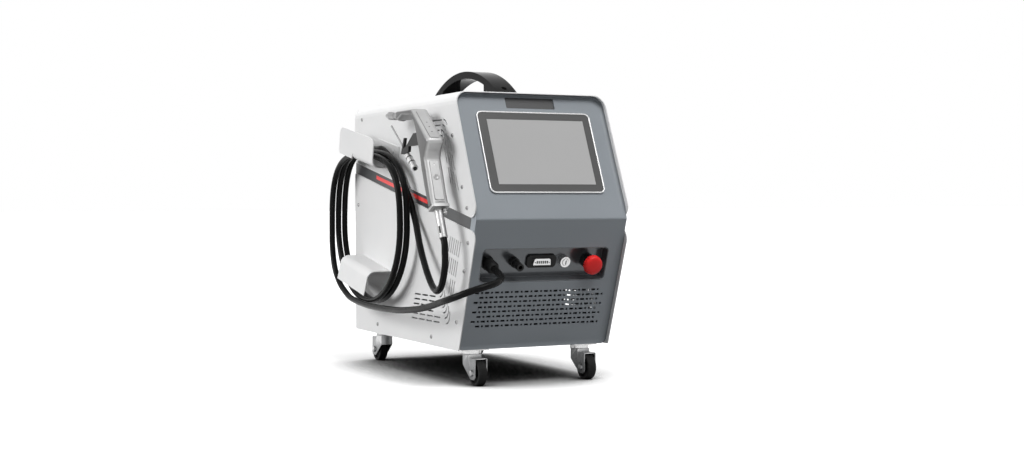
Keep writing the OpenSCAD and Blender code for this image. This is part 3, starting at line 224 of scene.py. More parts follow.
def make_materials():
    """A material for each slot of the record, and further looks that no slot has"""
    return {
        # The surround's paint gets painted shade, near black towards its walls and along its top
        # under the covers
        "surround": painted_shade_by_attribute(surface("surround_paint", *PANEL_FINISH, cloud=5, specular=0.3),
                           grey(0.02)),
        # The bay has the panel's paint, darkened as painted shade in its recess, with a glossier
        # finish
        "bay_paint_in_shade": surface("bay_paint_in_shade", grey(0.125, 0.07), grey(0.115, 0.07), (0.16, 0.22), 1800,
                             0.000006, metal=0.3),
        "badge_grey": surface("badge_grey", grey(0.045, 0.03), grey(0.04, 0.03), (0.3, 0.4), 1400,
                              0.00001),
        # The casting's sides get painted shade, darker grey than its front
        "gun_casting": painted_side_shade(surface("gun_casting", grey(0.47), grey(0.42), (0.38, 0.48), 2400,
                                     0.000012, metal=0.5, cloud=40), grey(0.11)),
        "gun_groove": surface("gun_groove", grey(0.22), grey(0.19), (0.4, 0.5), 1600, 0.00001,
                              metal=0.3),
        "satin_steel": surface("satin_steel", grey(0.42), grey(0.34), (0.34, 0.44), 1600, 0.00001,
                               metal=0.7, cloud=30),
        "barrel_steel": surface("barrel_steel", grey(0.3), grey(0.22), (0.28, 0.38), 1600, 0.00001,
                                metal=0.85, cloud=30),
        "plug_silver": surface("plug_silver", grey(0.6), grey(0.54), (0.3, 0.4), 1600, 0.00001,
                               metal=0.9),
        # Near black: on the inner parts, painted shade inside the case, over housings whose own
        # colour is not known
        "inner_dark": surface("inner_dark", grey(0.05), grey(0.04), (0.5, 0.6), 900, 0.00002,
                              specular=0.15),
        "screw_steel": surface("screw_steel", grey(0.32), grey(0.27), (0.25, 0.35), 1600, 0.00001,
                               metal=0.9),
        "white_sheet": surface("white_powder_coat", grey(0.82), grey(0.79, 0.004), (0.38, 0.5),
                               1500, 0.00002, specular=0.3),
        "dark_sheet": surface("dark_satin_paint", grey(0.036, 0.08), grey(0.028, 0.08), (0.3, 0.42),
                              1500, 0.000015),
        "panel_paint": surface("blue_grey_paint", *PANEL_FINISH, cloud=5, specular=0.3),
        "rear_sheet": surface("rear_grey_paint", grey(0.55, 0.02), grey(0.52, 0.02), (0.38, 0.5),
                              1500, 0.00002),
        "base_steel": surface("base_grey_paint", grey(0.3), grey(0.26), (0.45, 0.6), 1200, 0.00003),
        "bright_steel": surface("bright_steel", grey(0.62), grey(0.54), (0.22, 0.34), 900, 0.00001,
                                metal=0.9, worn=grey(0.75)),
        "castor_zinc": surface("zinc_plate", grey(0.28, 0.01), grey(0.2, 0.02), (0.25, 0.4), 300,
                               0.00001, metal=0.9, cloud=60, worn=grey(0.6)),
        "castor_rubber": surface("black_tyre", grey(0.01), grey(0.016), (0.5, 0.68), 1600, 0.00004,
                                 cloud=70, worn=grey(0.04), specular=0.12),
        "red_film": surface("red_film", (0.95, 0.035, 0.035), (0.88, 0.03, 0.03), (0.28, 0.36), 900,
                            0.00001),
        "screen_bezel": surface("screen_bezel", grey(0.088), grey(0.08), (0.16, 0.22), 700,
                                0.000004),
        "screen_light": surface("blank_display", grey(0.53), grey(0.52), (0.12, 0.16), 700,
                                0.000003),
        "black_plastic": surface("black_plastic", grey(0.01), grey(0.014), (0.32, 0.46), 1600,
                                 0.00001, worn=grey(0.03), specular=0.15),
        "stem_steel": surface("turned_steel", grey(0.5), grey(0.42), (0.22, 0.36), 1200, 0.00001,
                              metal=1.0),
        "red_plastic": surface("red_plastic", (1.0, 0.03, 0.03), (0.95, 0.025, 0.025),
                               (0.34, 0.42), 1400, 0.000012, specular=0.25),
        "handle_black": surface("black_handle", grey(0.006), grey(0.009), (0.12, 0.18), 1500,
                                0.000004, specular=0.04),
        "hose_rubber": surface("black_hose", grey(0.006), grey(0.009), (0.22, 0.3), 1100, 0.000006,
                               cloud=30, specular=0.06),
        "gun_aluminium": surface("blasted_aluminium", grey(0.66), grey(0.6), (0.36, 0.46), 2400,
                                 0.000012, metal=0.45, cloud=40, worn=grey(0.8)),
        "grey_plastic": surface("grey_plastic", grey(0.66), grey(0.6), (0.3, 0.42), 1200, 0.00001),
        "inlet_brass": surface("plated_brass", (0.72, 0.6, 0.36), (0.62, 0.5, 0.28), (0.2, 0.34),
                               900, 0.00001, metal=1.0),
        "inner_aluminium": surface("cast_aluminium", grey(0.55), grey(0.48), (0.4, 0.55), 900,
                                   0.00003, metal=1.0),
    }


# Pieces
SMOOTH = math.radians(36)
BEVEL_SEGMENTS = 3
NORMAL_WEIGHT = 80
# Edges that turn by more degrees than this are rounded, on copies of nodes and on further pieces
NODE_EDGE = 30
PIECE_EDGE = 35
# Points nearer than this in millimetres are joined, and so are faces within so many degrees
WELD = 0.002
FLAT = 0.5


def as_mesh(name, shape):
    """The mesh of a shape that was built up"""
    mesh = bpy.data.meshes.new(name)
    shape.to_mesh(mesh)
    shape.free()
    return mesh


def add_piece(name, mesh, slot, body, replaced=(), look=None):
    """A piece of the scene, in the row frame, that rides on a body. It has the slot's finish, or
    another look that is named"""
    mesh.polygons.foreach_set("use_smooth", [True] * len(mesh.polygons))
    mesh.set_sharp_from_angle(angle=SMOOTH)
    piece = bpy.data.objects.new(name, mesh)
    bpy.context.collection.objects.link(piece)
    mesh.materials.clear()
    mesh.materials.append(materials[look or slot])
    if replaced:
        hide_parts(*replaced)
    if body:
        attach(piece, body)
    return piece


def applied(piece, kind, **settings):
    """Puts a modifier on the piece and turns its result into the mesh"""
    modifier = piece.modifiers.new(kind.lower(), kind)
    for key, value in settings.items():
        setattr(modifier, key, value)
    bpy.context.view_layer.objects.active = piece
    with bpy.context.temp_override(object=piece, active_object=piece, selected_objects=[piece]):
        bpy.ops.object.modifier_apply(modifier=modifier.name)


def rounded(piece, width, angle, **settings):
    """Rounds the piece's edges that are sharper than the angle, by the width in millimetres"""
    applied(piece, "BEVEL", width=width * MM, segments=BEVEL_SEGMENTS, limit_method="ANGLE",
            angle_limit=math.radians(angle), use_clamp_overlap=True, **settings)
    piece.data.set_sharp_from_angle(angle=SMOOTH)
    applied(piece, "WEIGHTED_NORMAL", keep_sharp=True, weight=NORMAL_WEIGHT)


def soften(node, width):
    """A piece like the CAD node, with its sharp edges rounded by the width in millimetres"""
    shape = bmesh.new()
    shape.from_mesh(nodes[node].data)
    bmesh.ops.remove_doubles(shape, verts=shape.verts, dist=WELD * MM)
    bmesh.ops.dissolve_limit(shape, angle_limit=math.radians(FLAT), verts=shape.verts,
                             edges=shape.edges)
    name = node + "_rounded"
    piece = add_piece(name, as_mesh(name, shape), slot_of[node], body_of[node], [node])
    rounded(piece, width, NODE_EDGE, miter_outer="MITER_ARC")


def finished(name, shape, slot, body, replaced=(), look=None, bevel=0):
    """A piece of the shape that was built up, with its sharp edges rounded by the bevel"""
    bmesh.ops.recalc_face_normals(shape, faces=shape.faces)
    piece = add_piece(name, as_mesh(name, shape), slot, body, replaced, look)
    if bevel:
        rounded(piece, bevel, PIECE_EDGE)


def stands_for(node, name, shape, look=None, bevel=0):
    """A finished piece in a CAD node's place, with that node's slot and body"""
    finished(name, shape, slot_of[node], body_of[node], [node], look, bevel)


# Turned forms and slabs

def facing(point, out, up=(0, 0, 1)):
    """A frame at the point, in millimetres of the body's own frame, whose Z looks out"""
    z = Vector(out).normalized()
    x = Vector(up).cross(z).normalized()
    turn = Matrix((x, z.cross(x), z)).transposed().to_4x4()
    return Matrix.Translation(place(point)) @ turn


def shifted(where, x, y, z=0):
    """The frame moved along its own axes, in millimetres"""
    return where @ Matrix.Translation(Vector((x, y, z)) * MM)


def hexagon(angle):
    """The share of its radius that a hexagon's side reaches at that angle"""
    return math.cos(math.pi / 6) / math.cos(angle % (math.pi / 3) - math.pi / 6)


def ribbed(count, depth):
    """The share of its radius that a ribbed side reaches, by the angle"""
    return lambda angle: 1 - depth * (math.cos(count * angle) > 0)


def turned(shape, where, rows, sides=32, form=hexagon):
    """Adds a closed form turned round Z. A row is a radius and a height, and takes the form too
    where it has a third value"""
    rings = []
    for radius, height, *formed in rows:
        if radius == 0:
            rings.append([shape.verts.new(where @ Vector((0, 0, height * MM)))])
            continue
        ring = []
        for k in range(sides):
            angle = 2 * math.pi * k / sides
            reach = radius * (form(angle) if formed else 1)
            ring.append(shape.verts.new(where @ (MM * Vector((
                reach * math.cos(angle), reach * math.sin(angle), height)))))
        rings.append(ring)
    for a, b in zip(rings, rings[1:]):
        for k in range(sides):
            n = (k + 1) % sides
            if len(a) == 1:
                shape.faces.new((a[0], b[n], b[k]))
            elif len(b) == 1:
                shape.faces.new((a[k], a[n], b[0]))
            else:
                shape.faces.new((a[k], a[n], b[n], b[k]))


def walls(shape, rings):
    """Adds the faces between rings of as many points"""
    for a, b in zip(rings, rings[1:]):
        for k in range(len(a)):
            n = (k + 1) % len(a)
            shape.faces.new((a[k], a[n], b[n], b[k]))


def prism(shape, where, outline, low, high):
    """Adds the outline, in the frame's X and Y, drawn out from one height to the other"""
    rings = [[shape.verts.new(where @ (MM * Vector((x, y, h)))) for x, y in outline]
             for h in (low, high)]
    walls(shape, rings)
    shape.faces.new(reversed(rings[0]))
    shape.faces.new(rings[1])


def slab(shape, where, size, steps=5):
    """Adds a rectangle with rounded corners, drawn out. The size is its width, length and corner
    radius, and the heights of its foot and top"""
    width, length, radius, low, high = size
    points = []
    for quarter, (x_side, y_side) in enumerate(((1, 1), (-1, 1), (-1, -1), (1, -1))):
        for j in range(steps + 1):
            angle = math.pi / 2 * (quarter + j / steps)
            points.append((x_side * (width / 2 - radius) + radius * math.cos(angle),
                           y_side * (length / 2 - radius) + radius * math.sin(angle)))
    prism(shape, where, points, low, high)


# The hose's routes, as the part's own
HOSE_D = 13
HOSE_R = HOSE_D / 2
HOSE_SIDES = 20
ROUTE_STEP = 9
TURN_STEPS = 96
GLAND_LEAD = 1.5
COIL_A = 197
COIL_B = 167
COIL_STEP = 15
COIL_MID = Vector((-210, 492.5, 241.3))
COIL_TOP = 144.4
COIL_TOP_RISE = 6.5
COIL_LEAN = 0.05
COIL_TURNS = 2.25
COIL_POWER = 2 / 3
FLOOR_REC = 34
BAY_S = 99
GLAND_X = -118.012
GLAND_L = 39
RELIEF_L = 66
bay_out = Vector((0, -math.cos(LOW_LEAN), -math.sin(LOW_LEAN)))
front_points = [
    (-125, -15, 143.5), (-144, -33, 136), (-170, -39.5, 130), (-196, -32.5, 122),
    (-215, -13.5, 112), (-222, 12.5, 104.5), (-222, 50, 97), (-221, 95, 88), (-221, 145, 80),
    (-220, 195, 74.5), (-219, 250, 70), (-217, 305, 67.5), (-216, 360, 66.5), (-214.5, 415, 66.5),
    (-213.5, 470, 68), (-213, 520, 71.5), (-212.5, 568, 78), (-212, 600, 89), (-212, 627, 101.5),
    (-211.5, 649, 116.5), (-211, 666.5, 133.5), (-210.5, 679, 155), (-210, 686.5, 178),
    (-210, 689.5, 200)]
gun_points = [
    (-175.5, 449, 393.5), (-174.5, 409.5, 374.5), (-174, 371.5, 348.5), (-174, 349.5, 327.5),
    (-173.5, 329, 306.5), (-173.2, 313.5, 290), (-173.8, 296, 266), (-177.5, 273.5, 246),
    (-183.5, 246.5, 220), (-188, 223, 194.5), (-192.5, 194.5, 168), (-197, 164, 143.5),
    (-201, 130, 122), (-203.5, 104.5, 115.5), (-204.5, 83, 124.5), (-204.5, 69, 148),
    (-204.5, 63, 172.5), (-204.5, 64, 190)]


def low_y(depth, z):
    """Y at that depth behind the lower front edges, at the height z"""
    return (depth - math.sin(LOW_LEAN) * (z - RIDGE_H)) / math.cos(LOW_LEAN)


def on_bay_floor(x, out):
    """A point over the bay's floor, out towards the viewer"""
    down = BAY_S - FLOOR_REC * math.tan(LOW_LEAN)
    foot = Vector((x, low_y(FLOOR_REC, RIDGE_H) + down * math.sin(LOW_LEAN),
                   RIDGE_H - down * math.cos(LOW_LEAN)))
    return foot + out * bay_out


def coil_point(t):
    """The point of the coil after t turns"""
    c, s = math.cos(2 * math.pi * t), math.sin(2 * math.pi * t)
    if s < 0:
        y, z = COIL_A * c, COIL_B * s
    else:
        y = COIL_A * math.copysign(abs(c) ** COIL_POWER, c)
        z = (COIL_TOP + COIL_TOP_RISE * t + COIL_LEAN * y) * abs(s) ** COIL_POWER
    return COIL_MID + Vector((COIL_STEP * t, y, z))


CURVE_SPANS = (((0, 1), (1, 2), (2, 3)), ((0, 2), (1, 3)), ((1, 2),))


def smooth_route(points, longest):
    """A centripetal curve through the points, with steps no longer than that"""
    points = [Vector(p) for p in points]
    ends = [2 * points[0] - points[1]] + points + [2 * points[-1] - points[-2]]
    out = []
    for i in range(1, len(ends) - 2):
        group = ends[i - 1:i + 3]
        knots = [0.0]
        for p, q in zip(group, group[1:]):
            knots.append(knots[-1] + (q - p).length ** 0.5)
        steps = max(1, math.ceil((group[2] - group[1]).length / longest))
        for j in range(steps):
            t = knots[1] + (knots[2] - knots[1]) * j / steps
            level = group
            for spans in CURVE_SPANS:
                level = [(level[k] * (knots[b] - t) + level[k + 1] * (t - knots[a]))
                         / (knots[b] - knots[a]) for k, (a, b) in enumerate(spans)]
            out.append(level[0])
    return out + [points[-1]]


def hose(name, route, body, replaced):
    """A closed tube along the route in millimetres, with the route in metres and its length"""
    route = [place(p) for p in route]
    shape = bmesh.new()
    side = (route[1] - route[0]).normalized().orthogonal()
    rings = []
    for i, centre in enumerate(route):
        along = (route[min(i + 1, len(route) - 1)] - route[max(i - 1, 0)]).normalized()
        side = (side - along * side.dot(along)).normalized()
        across = along.cross(side)
        turns = [2 * math.pi * k / HOSE_SIDES for k in range(HOSE_SIDES)]
        rings.append([shape.verts.new(centre + HOSE_R * MM * (
            math.cos(angle) * side + math.sin(angle) * across)) for angle in turns])
    walls(shape, rings)
    shape.faces.new(reversed(rings[0]))
    shape.faces.new(rings[-1])
    piece = add_piece(name, as_mesh(name, shape), "hose_rubber", body, replaced)
    length = sum((q - p).length for p, q in zip(route, route[1:]))
    return piece, route, length


# The gun's outline, as shares of its height, in its own frame
GUN_AT = Vector((-204.5, 85, 275))
GUN_H = 193
GUN_W = 36
GAP = 0.3
RELIEF_OFF = 4
GUN_SHARES = [
    (0.534, 1), (0.096, 0.667), (0.155, 0.56), (0.181, 0.497), (0.13, 0.383), (0.052, 0.179),
    (0, 0.041), (0.09, 0), (0.185, 0.179), (0.27, 0.384), (0.316, 0.525), (0.359, 0.628),
    (0.41, 0.759), (0.503, 0.938), (0.804, 0.953), (0.956, 0.894), (0.956, 1)]
GUN_OUTLINE = [Vector((0, y * GUN_H, z * GUN_H)) for y, z in GUN_SHARES]
# Lines on the gun, each from one corner of its outline to another
HEAD = (0, 1)
GRIP = (3, 6)
BUTTON_SEAT = (4, 5)
FOOT = (6, 7)


def outwards(along):
    """The direction out of the gun from a line that runs along its outline"""
    return Vector((0, along.z, -along.y))


def line_way(line):
    """The direction of the line from its first corner to its second"""
    start, end = line
    return (GUN_OUTLINE[end] - GUN_OUTLINE[start]).normalized()


def along_gun(line, share, out=0.0):
    """A point of the body's own frame on the gun, at that share of the line and so far out"""
    start, end = line
    return (GUN_AT + GUN_OUTLINE[start].lerp(GUN_OUTLINE[end], share)
            + out * outwards(line_way(line)))


def on_gun(line, share):
    """A frame there whose Z looks out of the gun and whose Y runs back along the line"""
    along = line_way(line)
    return facing(along_gun(line, share), outwards(along), -along)


def relief_point(length):
    """The middle of the strain relief, that far below the grip"""
    return along_gun(FOOT, 0.5, length) + RELIEF_OFF * line_way(FOOT)


def make_hoses():
    gland_end = on_bay_floor(GLAND_X, GLAND_L)
    drop = Vector((0, 0, HOSE_D))
    back = Vector((0, HOSE_D, 0))
    start = coil_point(0) - drop
    lead = smooth_route([gland_end, gland_end + GLAND_LEAD * HOSE_D * bay_out] + front_points
                        + [start - drop, start], ROUTE_STEP)
    turns = [coil_point(i / TURN_STEPS) for i in range(int(COIL_TURNS * TURN_STEPS) + 1)]
    end = coil_point(COIL_TURNS) - back
    piece, route, length = hose("hose_main", lead + turns + [end], "root",
                                ["hose_front_run", "hose_coil"])
    relief_end = relief_point(RELIEF_L + GAP)
    relief_out = relief_point(RELIEF_L + GAP + 1) - relief_end
    gun_route = smooth_route([end, end - back] + gun_points
                             + [relief_end + HOSE_D * relief_out, relief_end], ROUTE_STEP)
    piece, route, length = hose("hose_gun", gun_route, None, ["hose_gun_run"])
    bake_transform(piece)


# The soft surround that runs from the front panel to the covers, with shade painted on its walls
# and top edge
SURROUND_HALF = 162.95
SURROUND_TOP = 498
SURROUND_R = 24
SURROUND_FOOT_R = 12
SURROUND_STEP = 6
SURROUND_STEPS = 78
CORNER_STEPS = 12
WALL_T = 2
PANEL_REC = 11.9
LIP_REC = 8
LIP_W = 8
LIP_TOP_W = 5
LIP_STEPS = 6
# The share of the painted shade that the side walls get, where the top gets all of it
LIP_SHADE = 0.62
FRAME_D = 33
BAND_MID = 243
BAND_FLAT = 12
BAND_FADE = 18


def front_y(depth, z):
    """Y at that depth behind the front edges, upper or lower"""
    upper = (depth + math.sin(TOP_LEAN) * (z - RIDGE_H)) / math.cos(TOP_LEAN)
    return max(low_y(depth, z), upper)


def surround_line():
    """Points and inward directions round the front, with short steps near the band"""
    heights = [SURROUND_FOOT_R + k * SURROUND_STEP for k in range(SURROUND_STEPS)]
    heights.append(SURROUND_TOP - SURROUND_R)
    line = [(SURROUND_HALF, z, -1, 0) for z in heights]
    corners = ((SURROUND_HALF - SURROUND_R, SURROUND_TOP - SURROUND_R, SURROUND_R, 0),
               (SURROUND_R - SURROUND_HALF, SURROUND_TOP - SURROUND_R, SURROUND_R, 1),
               (SURROUND_FOOT_R - SURROUND_HALF, SURROUND_FOOT_R, SURROUND_FOOT_R, 2),
               (SURROUND_HALF - SURROUND_FOOT_R, SURROUND_FOOT_R, SURROUND_FOOT_R, 3))
    for x, z, r, quarter in corners:
        if quarter == 2:
            line += [(-SURROUND_HALF, h, 1, 0) for h in reversed(heights)]
        for j in range(1, CORNER_STEPS):
            angle = math.pi / 2 * (quarter + j / CORNER_STEPS)
            line.append((x + r * math.cos(angle), z + r * math.sin(angle), -math.cos(angle),
                         -math.sin(angle)))
    return line


def surround_profile(z, upwards):
    """Insets, depths and painted shades across the surround at that height. Upwards is 1 along its
    top
    """
    away = min(1, max(0, (abs(z - BAND_MID) - BAND_FLAT) / BAND_FADE))
    start = PANEL_REC - (PANEL_REC - LIP_REC) * away
    wide = LIP_W - (LIP_W - LIP_TOP_W) * upwards
    dark = (LIP_SHADE + (1 - LIP_SHADE) * upwards) * away
    profile = [(0, FRAME_D, dark), (0, start, dark)]
    for j in range(1, LIP_STEPS + 1):
        angle = math.pi / 2 * j / LIP_STEPS
        profile.append((wide * (1 - math.cos(angle)),
                        start + (PANEL_REC - start) * math.sin(angle), dark * (1 - j / LIP_STEPS)))
    behind = PANEL_REC + 1
    return profile + [(wide, behind, 0), (WALL_T, behind, 0), (WALL_T, FRAME_D, dark)]


def make_surround():
    shape = bmesh.new()
    shade = shape.verts.layers.float.new("shade")
    rings = []
    for x, z, inward_x, inward_z in surround_line():
        ring = []
        for inset, depth, tone in surround_profile(z, max(0, -inward_z)):
            px, pz = x + inset * inward_x, z + inset * inward_z
            vert = shape.verts.new(place((px, front_y(depth, pz), pz)))
            vert[shade] = tone
            ring.append(vert)
        rings.append(ring)
    walls(shape, rings + rings[:1])
    finished("front_surround", shape, "panel_paint", "root", ["front_frame"], "surround")


# The cover screws set out from the front and from the back. Y is a share of the upper front's
# lean and Z of the height
SCREW_FRONT = ((1.076, 0.828), (0.66, 0.628), (0.458, 0.548), (0.421, 0.416), (0.593, 0.308),
               (0.929, 0.11), (2.071, 0.034))
SCREW_REAR = ((0.428, 0.94), (0.244, 0.79), (1.283, 0.04), (0.202, 0.56))
SCREW_ROWS = ((0, 0.5), (2.1, 0.5, 1), (2.15, 1.9, 1), (3, 1.9), (3.8, 1.4), (4.2, 0.5),
              (4.25, -0.8), (0, -0.8))


def make_screws():
    shape = bmesh.new()
    places = [(y * TOP_LEAN_D, z * BODY_H) for y, z in SCREW_FRONT]
    places += [(BODY_D - y * TOP_LEAN_D, z * BODY_H) for y, z in SCREW_REAR]
    for side in (-1, 1):
        for y, z in places:
            turned(shape, facing((side * BODY_W / 2, y, z), (side, 0, 0)), SCREW_ROWS, sides=24)
    stands_for("cover_screws", "cover_screw_heads", shape, "screw_steel")


# The items of the bay, by their places across it
SIGNAL_X = -0.954
KEY_X = 48.024
STOP_X = 99.986
STOP_ROWS = ((0, 38), (9, 37.9), (13.5, 37.4), (16.5, 36.5), (18.2, 35), (18.6, 33.6),
             (17.9, 31.8), (18.2, 31), (19.5, 30.4, 1), (19.5, 24.8, 1), (18.9, 24.2, 1),
             (8.5, 24.2), (8.5, 26), (0, 26))
STOP_RIBS = 24
STOP_RIB_DEPTH = 0.06


def make_stop_cap():
    shape = bmesh.new()
    turned(shape, facing(on_bay_floor(STOP_X, 0), bay_out), STOP_ROWS, sides=96,
           form=ribbed(STOP_RIBS, STOP_RIB_DEPTH))
    stands_for("stop_cap", "stop_button", shape)


SLOT_STEPS = 2
PLUG_OUTLINE = ((19.5, -7), (17.5, 5), (15, 7), (-15, 7), (-17.5, 5), (-19.5, -7))
PLUG_LOW = 2
PLUG_TOP = 8.3
PLUG_EDGE = 0.8
PLUG_SLOT = (2.8, 5.8, 0.6, 7, 8.5)
PLUG_SLOTS = 6
PLUG_PITCH = 4.4
PLUG_SLOT_Y = -0.4
PLUG_SCREW_X = 15
PLUG_SCREW_Y = -1
PLUG_SCREW_ROWS = ((0, 7), (1.2, 7), (1.2, 8.5), (0, 8.5))


def make_signal_plug():
    seat = facing(on_bay_floor(SIGNAL_X, 0), bay_out)
    shape = bmesh.new()
    prism(shape, seat, PLUG_OUTLINE, PLUG_LOW, PLUG_TOP)
    stands_for("signal_shell", "signal_plug_shell", shape, "plug_silver", PLUG_EDGE)
    shape = bmesh.new()
    for k in range(PLUG_SLOTS):
        spot = shifted(seat, PLUG_PITCH * (k - (PLUG_SLOTS - 1) / 2), PLUG_SLOT_Y)
        slab(shape, spot, PLUG_SLOT, SLOT_STEPS)
    for side in (-1, 1):
        spot = shifted(seat, PLUG_SCREW_X * side, PLUG_SCREW_Y)
        turned(shape, spot, PLUG_SCREW_ROWS, sides=16)
    finished("signal_plug_slots", shape, "black_plastic", "root", (), "inner_dark")


KEY_ROWS = ((0, 14), (6.3, 14), (7, 13.3), (7, 0.6), (0, 0.6))
KEY_SLOT = (2.2, 9, 0.8, 13, 14.15)


def make_key():
    face = facing(on_bay_floor(KEY_X, 0), bay_out)
    shape = bmesh.new()
    turned(shape, face, KEY_ROWS, sides=40)
    stands_for("key_barrel", "key_face", shape, "plug_silver")
    shape = bmesh.new()
    slab(shape, face, KEY_SLOT, SLOT_STEPS)
    finished("key_slot", shape, "black_plastic", body_of["key_barrel"], (), "inner_dark")


# By the outline's corners: the radius there, and how far the rounding of the sides reaches in
GUN_ROUNDS = (
    (6, 4.5), (9, 8), (9, 8), (20, 7.5), (0, 7.5), (0, 7.5), (0, 5), (0, 4), (0, 4.5), (0, 4.5),
    (0, 4.5), (0, 4.5), (8, 4), (8, 2.5), (6, 3), (5, 4), (6, 4))
GUN_EDGE = 8
GUN_STEPS = 6
GUN_FOOT_L = 5
STRAIGHT = 0.03
CUT_SHARE = 0.45


def rounded_outline():
    """The gun's outline with its corners rounded, and the reach of the side rounding at each
    point"""
    corners = list(GUN_OUTLINE)
    for i in FOOT:
        corners[i] = corners[i] + GUN_FOOT_L * outwards(line_way(FOOT))
    out = []
    for i, corner in enumerate(corners):
        radius, reach = GUN_ROUNDS[i]
        before, after = corners[i - 1], corners[(i + 1) % len(corners)]
        d1, d2 = (corner - before).normalized(), (after - corner).normalized()
        turn = d1.angle(d2)
        if radius == 0 or turn < STRAIGHT:
            out.append((corner, reach))
            continue
        half = math.tan(turn / 2)
        cut = min(radius * half, CUT_SHARE * (corner - before).length,
                  CUT_SHARE * (after - corner).length)
        centre = corner + (d2 - d1).normalized() * cut / half / math.cos(turn / 2)
        start, end = corner - cut * d1 - centre, corner + cut * d2 - centre
        for j in range(GUN_STEPS + 1):
            u = j / GUN_STEPS
            out.append((centre + (start * math.sin((1 - u) * turn) + end * math.sin(u * turn))
                        / math.sin(turn), reach))
    return out


def gun_casting():
    """The gun's body: the outline drawn out across its width, with both side edges rounded"""
    shape = bmesh.new()
    outline = rounded_outline()
    moves = []
    for i, (point, reach) in enumerate(outline):
        out1 = outwards((point - outline[i - 1][0]).normalized())
        out2 = outwards((outline[(i + 1) % len(outline)][0] - point).normalized())
        moves.append(-(out1 + out2) / (1 + out1.dot(out2)) * reach)
    rings = []
    for side, steps in ((-1, range(GUN_STEPS, -1, -1)), (1, range(GUN_STEPS + 1))):
        for j in steps:
            angle = math.pi / (2 * GUN_STEPS) * j
            x = side * (GUN_W / 2 - GUN_EDGE * (1 - math.sin(angle)))
            inset = 1 - math.cos(angle)
            rings.append([shape.verts.new(place(GUN_AT + point + inset * move + Vector((x, 0, 0))))
                          for (point, _), move in zip(outline, moves)])
    walls(shape, rings)
    shape.faces.new(rings[0])
    shape.faces.new(rings[-1])
    stands_for("gun_body", "gun_casting", shape, "gun_casting")


# The stud's place: X in millimetres, and Y and Z as shares of the gun's height
STUD_X = 17.5
STUD_SHARES = (0.91, 0.956)
STUD_ROWS = ((0, 0), (4, 0), (4, 6.3), (8, 6.3), (8, 9.2), (0, 9.2))


def gun_stud():
    """The stud that hangs the gun on its holder"""
    y, z = STUD_SHARES
    shape = bmesh.new()
    turned(shape, facing(GUN_AT + Vector((STUD_X, y * GUN_H, z * GUN_H)), (1, 0, 0)), STUD_ROWS)
    finished("gun_stud", shape, slot_of["gun_body"], "gun")


# The sizes of the gun's slabs
HEAD_PLATE = (19, 88, 2.5, -0.5, 1.2)
HEAD_GROOVE = (20.2, 89.2, 3, -0.5, 0.3)
GRIP_PLATE = (19, 80, 2.5, -0.5, 2)
GRIP_GROOVE = (20, 81, 3, -0.5, 1.25)
GRIP_SEAM = (20, 1.4, 0.6, -1, 0.4)
FOOT_SEAM = (36.3, 19.6, 6, 0.1, 1.4)
FOOT_PLATE = (35, 27, 3, 1.4, 7)
RELIEF_SLOT = (15, 3.6, 1.6, 2, 8.6)
PLATE_EDGE = 0.6


def gun_plates():
    """The plates on the head and the grip, and the grooves round them"""
    shape = bmesh.new()
    slab(shape, on_gun(HEAD, 0.5), HEAD_PLATE)
    stands_for("gun_head_cover", "gun_head_plate", shape, "gun_casting", PLATE_EDGE)
    shape = bmesh.new()
    slab(shape, on_gun(GRIP, 0.5), GRIP_PLATE)
    finished("gun_grip_plate", shape, slot_of["gun_body"], "gun", (), "gun_casting", PLATE_EDGE)
    shape = bmesh.new()
    slab(shape, on_gun(HEAD, 0.5), HEAD_GROOVE)
    slab(shape, on_gun(GRIP, 0.5), GRIP_GROOVE)
    finished("gun_plate_grooves", shape, slot_of["gun_body"], "gun", (), "gun_groove")


DOT_SHARES = (0.45, 0.59, 0.75)
DOT_ROWS = ((0, 0.8), (1.3, 0.8), (1.3, 1.3), (0, 1.3))
SEAM_SHARE = 0.97


def gun_grooves():
    """The dark dots on the head, the seam across the grip and the one above the foot"""
    shape = bmesh.new()
    for share in DOT_SHARES:
        turned(shape, on_gun(HEAD, share), DOT_ROWS, sides=16)
    slab(shape, on_gun(GRIP, SEAM_SHARE), GRIP_SEAM)
    slab(shape, on_gun(FOOT, 0.5), FOOT_SEAM)
    finished("gun_grooves", shape, "black_plastic", "gun")


BUTTON_SHARE = 0.4
BUTTON_ROWS = ((0, 1.9), (3, 1.95), (4.8, 2.2), (5.6, 2.1), (6, 1.7), (6, -2.5), (0, -2.5))


def gun_push_button():
    shape = bmesh.new()
    turned(shape, on_gun(BUTTON_SEAT, BUTTON_SHARE), BUTTON_ROWS)
    stands_for("gun_button", "gun_push_button", shape, "screw_steel")


# The grip's screws: their share of the line, and how far the rims of their heads stand out
GRIP_SCREWS = ((0.17, 2), (0.92, 0.8))
HEAD_RISE = 0.4
SOCKET_DROP = 0.6


def gun_screws():
    shape = bmesh.new()
    for share, rim in GRIP_SCREWS:
        top, socket = rim + HEAD_RISE, rim - SOCKET_DROP
        rows = ((0, socket), (1.2, socket, 1), (1.25, top, 1), (2.5, top), (2.9, rim),
                (2.9, -0.5), (0, -0.5))
        turned(shape, on_gun(GRIP, share), rows, sides=24)
    finished("gun_screws", shape, "stem_steel", "gun")


KNOB_X = 10
KNOB_ROWS = ((0, 6), (2.2, 6), (2.2, 8), (4, 9), (4.6, 10.8), (4, 12.6), (2.6, 13.6), (4, 14.6),
             (4.6, 16.6), (4, 18.8), (2.4, 20), (0, 20.2))
RELIEF_ROWS = ((0, 7), (9.2, 7), (9.2, 9.5), (8.4, 10), (8.4, 59), (8, 59.5), (8, 60.5), (8.6, 61),
               (8.6, 65), (7.8, 66), (0, 66))
RELIEF_SLOT_AT = 50
RELIEF_SLOT_TURN = math.radians(-35)


